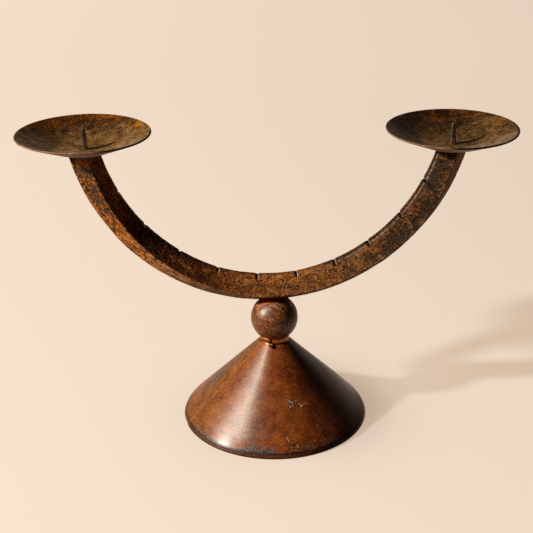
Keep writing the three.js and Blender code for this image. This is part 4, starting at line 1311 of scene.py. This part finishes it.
def bowMarks(spec, section, fromCorner, turn, run, plain, spot, shadedCut, litCut):
    # Rubbed corners, where the scale has stayed, and how far the rust is from black to orange, with painted
    # light and shade in the notches and in that tone. Plain and spot are the skin before and after
    # hammering; share is -1 under the right dish, 1 under the left.
    cloudWide = cloudNoise(plain, 16, 57)
    share = ((turn - 90) / 75)[:, None]
    cornerReach = spec["side"] * math.sqrt(0.5)
    flatReach = cornerReach - spec["innerFlat"] / 2
    onFront = smoothStep(section[:, 1], -0.4, 0.4)
    onOuter = smoothStep(section[:, 0], -0.4, 0.4)
    frontOuter = onFront * onOuter
    frontInner = onFront * (1 - onOuter)
    rightArm = smoothStep(-share, 0.15, 0.42)
    backTone = 0.42 + 0.1 * smoothStep(-share, 0, 0.4)
    outerToneWithPaintedLight = np.interp(share, *zip(*spec["outerTonesWithPaintedLight"]))
    innerToneWithPaintedShade = np.interp(share, *zip(*spec["innerTonesWithPaintedShade"]))
    tone = backTone + (outerToneWithPaintedLight - backTone) * frontOuter + (innerToneWithPaintedShade - backTone) * frontInner
    # painted shade: the right arm's planed corner, which faces the key light, is pulled dark
    planedPaintedShade = smoothStep(-section[:, 0], flatReach - 1.2, flatReach - 0.5) * rightArm
    tone = tone + (0.24 - tone) * planedPaintedShade + 0.05 * cloudWide

    bias = 0.15 * spotsMark(spot, spec["scalePatches"], spec["patchSpread"]) - 0.03
    # less scale at the middle, and on the outer face but for the left arm's upper end
    bias = bias - 0.05 * smoothStep(0.2 - np.abs(share), 0, 0.1)
    bias = bias - 0.06 * frontOuter * smoothStep(-share, 0, 0.3)
    bias = bias - 0.05 * frontOuter * smoothStep(share, 0.1, 0.25) * smoothStep(-share, -0.78, -0.66)

    edge = hill(fromCorner, 0, 0.6) * np.clip(0.35 + 1.1 * cloudNoise(plain, 6, 56), 0, 1)
    edge = edge * 0.25 * smoothStep(-share, -0.3, 0.2)
    ridge = hill(section[:, 0], 0.2 - flatReach, 0.38) * hill(section[:, 1], spec["innerFlat"] / 2, 0.5)
    ridge = 0.75 * ridge * rightArm * np.clip(0.8 + 0.5 * cloudWide, 0, 1)
    # rubbed corners and ridge, and the painted highlight on the notches' lit walls
    worn = np.maximum(np.maximum(edge, ridge) * (1 - shadedCut), 1.8 * litCut)

    # file strokes on the left arm's front outer face: each a flat oval, one at its middle and 0 at its edge
    dice = np.random.default_rng(spec["strokeSeed"])
    fileStroke = np.zeros(spot.shape[:2])
    for _ in range(spec["strokeCount"]):
        atRun = dice.uniform(*spec["strokeRun"])
        atFace = dice.uniform(-0.5, 11)
        halfLength = dice.uniform(2.5, 6.5)
        halfWidth = dice.uniform(0.9, 1.4)
        slant = dice.uniform(-0.1, 0.1)
        ahead = run[:, None] - atRun
        aside = (section[None, :, 1] - atFace) * math.sqrt(2) - slant * ahead
        fileStroke = np.maximum(fileStroke, 1 - np.hypot(ahead / halfLength, aside / halfWidth))

    # fresh rust at the spots and along the front corner of the right arm
    rustSpot = 0.35 * hill(section[:, 1], cornerReach, 0.8) * smoothStep(-share, -0.1, 0.4)
    rustSpot = np.maximum(rustSpot, spotsMark(spot, spec["rustSpots"]))
    return {
        "worn": worn,
        "scaleBias": bias,
        "paintedNotchShade": shadedCut,
        "fileStroke": fileStroke * frontOuter,
        "oliveZone": np.interp(share, *zip(*spec["oliveShares"])) * (1 - 0.8 * frontOuter),
        # painted grey sheen low on the left arm's outer face
        "paintedGreySheen": 0.6 * hill(share, 0.22, 0.25) * frontOuter,
        "flakeStep": linesMark(spot, spec["flakeEdges"]),
        "scratch": linesMark(spot, spec["scratches"]),
        "rustSpot": rustSpot,
        "rustToneAndPaintedShading": np.clip(tone, 0, 1),
    }


bowPoints, bowFaces, bowLooks, bowUv = bowBar(bow)
makePiece("bowForgedBar", bowPoints, bowFaces, rustedIron, ["bow_arm"], 32, bowLooks, bowUv)
print("bow forged:", len(bowPoints), "points")


# Dishes and spikes

dish = {
    # where a value is given for -1 and for 1, the first is the left dish's
    "radius": 50,
    "rimZ": 240.2,
    "depth": 12.8,
    "seatRadius": 9,
    "bendRadius": 17.5,
    "sheet": 1.3,
    "holeRadius": 1.9,
    "hammer": 0.14,
    "dents": [(1, 9, 61), (0.5, 4, 62)],    # strength, size and seed of each part
    "noiseApart": 300,                  # the two dishes take their noise this far to either side
    "columns": 240,
    "insideRows": 52,
    "rowEase": 0.92,                    # a power under 1: rows lie a little closer towards the rim
    "bendSteps": 60,
    "lipSteps": 9,
    "slideReach": 30,                   # rings wider than this have the dish's own middle
    "rimGrows": {-1: 0.6, 1: -0.5},     # made by hand: the left rim is a little wider than the right one
    "rimTips": {-1: 0.7, 1: 0.0},       # and its front stands a little higher
    "rimWave": 0.18,                    # rise and fall of the rim, twice round
    # flecks where the oxide has come off: x and y from the dish's middle, and reach
    "flecks": {
        -1: [(-19.2, 38.4, 3.0), (-5.3, 44.9, 2.6), (7.4, 41.0, 3.4), (15.1, 42.0, 2.6), (35.5, 28.3, 3.6),
             (30, 33, 2.4), (-26, 22, 2.0), (4, 22, 2.0), (24, 12, 1.8), (-11, 12, 1.5)],
        1: [(23.9, 39.8, 3.2), (17.4, 32.3, 2.8), (37.0, 2.5, 3.2), (42.2, 11.2, 3.0), (30, 20, 2.2),
            (9, 18, 1.8), (-10, 30, 1.8), (22, -4, 1.8)]},
    "warmWall": {-1: 1.0, 1: 0.55},
    "warmPatch": {-1: (37, 26, 0.8), 1: (44, 14, 0.6)},     # x and y from the middle, and strength
    # each dish's own tone, added to the painted wall shade; below zero is lighter
    "darker": {-1: -0.35, 1: 0.05},
    # the lip is painted black as shade where the cosine of the turn from the near right passes these, and
    # this much from row to row across it, from the second row before the lip
    "lipShadeSpan": {-1: (0.74, 0.84), 1: (0.35, 0.5)},
    "lipRows": [0.2, 0.9, 1, 1, 1, 1, 1, 0.9, 0.6, 0.2],
}


def dishSheet(spec, side):
    # The inside is a flat seat, a quadratic bend and a straight flank. Rings run from the spike's hole,
    # out over the inside, round the lip and back underneath; their middles slide from hole to dish.
    slope = math.atan(spec["depth"] / (spec["radius"] - spec["bendRadius"]))
    outward = np.array([math.cos(slope), math.sin(slope)])
    acrossSheet = np.array([math.sin(slope), -math.cos(slope)])
    lipRadius = spec["sheet"] / 2
    rim = spec["radius"] - lipRadius * (math.sin(slope) + math.cos(slope))
    reach = spec["bendRadius"] - spec["seatRadius"]
    t = np.linspace(0, 1, spec["bendSteps"])
    bendEnd = spec["bendRadius"] + reach * math.cos(slope)
    bend = spec["seatRadius"] * (1 - t) ** 2 + spec["bendRadius"] * 2 * t * (1 - t) + bendEnd * t ** 2
    tableR = np.concatenate([[0], bend, [rim]])
    tableZ = np.concatenate([[0], reach * math.sin(slope) * t ** 2, [spec["depth"]]])
    outShare = np.linspace(0, 1, spec["insideRows"]) ** spec["rowEase"]
    inside = spec["holeRadius"] + (rim - spec["holeRadius"]) * outShare
    underneath = inside[::-2]
    angle = np.linspace(0, 2 * math.pi, spec["columns"], endpoint=False)

    def rings(radii):
        radii = radii[:, None]
        shift = spikeOffset * (1 - smoothStep(radii, spec["holeRadius"], spec["slideReach"]))
        grid = onCircle(radii, angle, 0.0)
        grid[..., 0] += shift
        far = np.hypot(grid[..., 0], grid[..., 1])
        grid[..., 2] = np.interp(far, tableR, tableZ)
        return grid, far

    top, _ = rings(inside)
    swing = np.linspace(0, math.pi, spec["lipSteps"])[1:-1, None]
    lip = np.array([rim, spec["depth"]]) + lipRadius * (
        acrossSheet * (1 - np.cos(swing)) + outward * np.sin(swing))
    below, far = rings(underneath)
    tilt = np.arctan(np.interp(far, (tableR[1:] + tableR[:-1]) / 2, np.diff(tableZ) / np.diff(tableR)))
    below[..., :2] *= (1 + spec["sheet"] * np.sin(tilt) / np.maximum(far, 1))[..., None]
    below[..., 2] -= spec["sheet"] * np.cos(tilt)
    plain = np.concatenate([top, onCircle(lip[:, :1], angle, lip[:, 1:]), below])
    wear = np.concatenate([smoothStep(inside, rim - 0.7, rim + 0.2), np.ones(len(lip)),
                           smoothStep(underneath, rim - 2.4, rim)])[:, None]
    under = (np.arange(len(plain)) >= len(inside) + len(lip))[:, None] * 1.0

    # made by hand: the rim grows and tips, the sheet is dented, and the rim rises and falls twice round
    noisePlace = plain + [side * spec["noiseApart"], 0, 0]
    away, facing = roundMiddle(plain)
    outerShare = smoothStep(away, 12, 50)
    dent = cloudSum(noisePlace * [1, 1, 0.2], spec["dents"])
    grid = plain.copy()
    grid[..., 2] -= spec["rimTips"][side] * plain[..., 1] / spec["radius"] * outerShare
    grid[..., :2] *= 1 + spec["rimGrows"][side] / spec["radius"] * outerShare[..., None]
    grid[..., 2] += spec["hammer"] * dent * smoothStep(away, 7, 14) * smoothStep(-away, -50, -47)
    grid[..., 2] += spec["rimWave"] * np.sin(2 * facing + side) * smoothStep(away, 25, 50)
    marks = dishMarks(spec, side, plain, grid, wear, len(inside), under)
    points = grid + np.array([side * dishSpacing / 2, 0, spec["rimZ"] - spec["depth"]])
    return points, [gridFaces(len(grid), len(angle), True)], marks


def dishMarks(spec, side, plain, grid, wear, lipRow, under):
    # Plain and grid are the sheet before and after it was dented. Wear and under say how much each row
    # is rubbed as part of the rim, and whether it is underneath; the lip begins at the lip row.
    away, facing = roundMiddle(plain)
    # the back wall is worn warm, most of all in a patch at its right
    patchX, patchY, patchShare = spec["warmPatch"][side]
    warm = spec["warmWall"][side] * smoothStep(away, 24, 48) * smoothStep(np.sin(facing - 0.25), 0.0, 0.9)
    warm = np.maximum(warm, patchShare * hill(np.hypot(grid[..., 0] - patchX, grid[..., 1] - patchY), 0, 10))
    # painted shade on the back left wall
    paintedWallShade = 1.3 * smoothStep(away, 12, 44) * smoothStep(np.cos(facing - 2.25), -0.1, 0.85)
    dusty = 0.8 * smoothStep(-np.sin(facing + 0.2), -0.35, 0.6) * smoothStep(away, 3, 22)
    nearRight = smoothStep(np.cos(facing + 0.58), *spec["lipShadeSpan"][side])
    patchy = 0.55 + 0.45 * cloudNoise(plain + [side * spec["noiseApart"], 0, 0], 8, 64)
    rimWear = wear * patchy * (1 - nearRight)
    rimWear = rimWear * (0.30 + 0.70 * smoothStep(-np.sin(facing - 0.6), -0.2, 0.5))
    lipShade = np.zeros((len(grid), 1))
    lipShade[lipRow - 2:lipRow - 2 + len(spec["lipRows"]), 0] = spec["lipRows"]
    return {"worn": rimWear, "under": np.broadcast_to(under, away.shape), "warm": warm,
            "paintedWallShade": paintedWallShade + spec["darker"][side], "dusty": dusty,
            "fleck": spotsMark(plain[..., :2], spec["flecks"][side]) * (1 - under),
            "lipShade": lipShade * nearRight}


spike = {
    "top": 16.3,
    "base": 4.1,
    "tip": 1.75,
    "point": 0.12,
    "lean": 0.7,
    "tenonRadius": 1.6,
    "tenonLevels": [-15.6, -15.2, -2, -0.2],
    "tenonChamfer": 0.3,
    "footGap": 0.05,
    "bruise": 0.12,
    "taperPower": 0.74,
    "turned": 0.12,         # radians from the frame's axes at the foot
    "twist": 0.25,          # and further radians to the top
    "columns": 40,
    "levels": 46,
}


def spikePrick(spec, side):
    # Rounded-square rings: radius = half / (|cos|^n + |sin|^n)^(1/n), where n goes from 2 on the round
    # tenon to 7 on the forged taper, which narrows by a power a little under one.
    angle = np.linspace(0, 2 * math.pi, spec["columns"], endpoint=False)
    forged = np.linspace(spec["footGap"], spec["top"], spec["levels"])
    z = np.concatenate([spec["tenonLevels"], forged])[:, None]
    share = np.clip(z / spec["top"], 0, 1)
    half = (spec["tip"] + (spec["base"] - spec["tip"]) * (1 - share) ** spec["taperPower"]) / 2
    half = half * (1 - 0.35 * smoothStep(share, 0.96, 1))
    half = np.where(z < 0, spec["tenonRadius"], half)
    half[0] -= spec["tenonChamfer"]
    power = 2 + 5 * smoothStep(z, 0, 1.2) - 2.5 * smoothStep(share, 0.75, 1)
    ring = half / (np.abs(np.cos(angle)) ** power + np.abs(np.sin(angle)) ** power) ** (1 / power)
    grid = onCircle(ring, angle + spec["turned"] + spec["twist"] * share, z)
    grid[..., 0] -= spec["lean"] * share
    bruise = spec["bruise"] * cloudNoise(grid + [side * 40, 0, 0], 2.4, 71) * (z > 0.5) * (share < 0.95)
    grid[..., :2] *= (1 + bruise / np.maximum(half, 0.4))[..., None]
    poles = grid[[0, -1]].mean(1) + [[0, 0, 0], [0, 0, spec["point"]]]
    points = np.concatenate([grid.reshape(-1, 3), poles])
    points = points + np.array([side * dishSpacing / 2 + spikeOffset, 0, dish["rimZ"] - dish["depth"]])
    return points, cappedFaces(len(grid), len(angle))


for sideName, side in (("left", -1), ("right", 1)):
    dishPoints, dishFaces, dishLooks = dishSheet(dish, side)
    makePiece(sideName + "DishRaised", dishPoints, dishFaces, olivePatina,
              [sideName + "_dish"], 50, dishLooks)
    spikePoints, spikeFaces = spikePrick(spike, side)
    makePiece(sideName + "SpikeForged", spikePoints, spikeFaces, blackIron,
              [sideName + "_spike"], 40)
print("dishes raised and spikes set")


# Hardware under the foot

for node in ("foot_washer", "foot_nut", "foot_stud"):
    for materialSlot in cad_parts[node].material_slots:
        materialSlot.material = plainSteel
print("hardware finished")
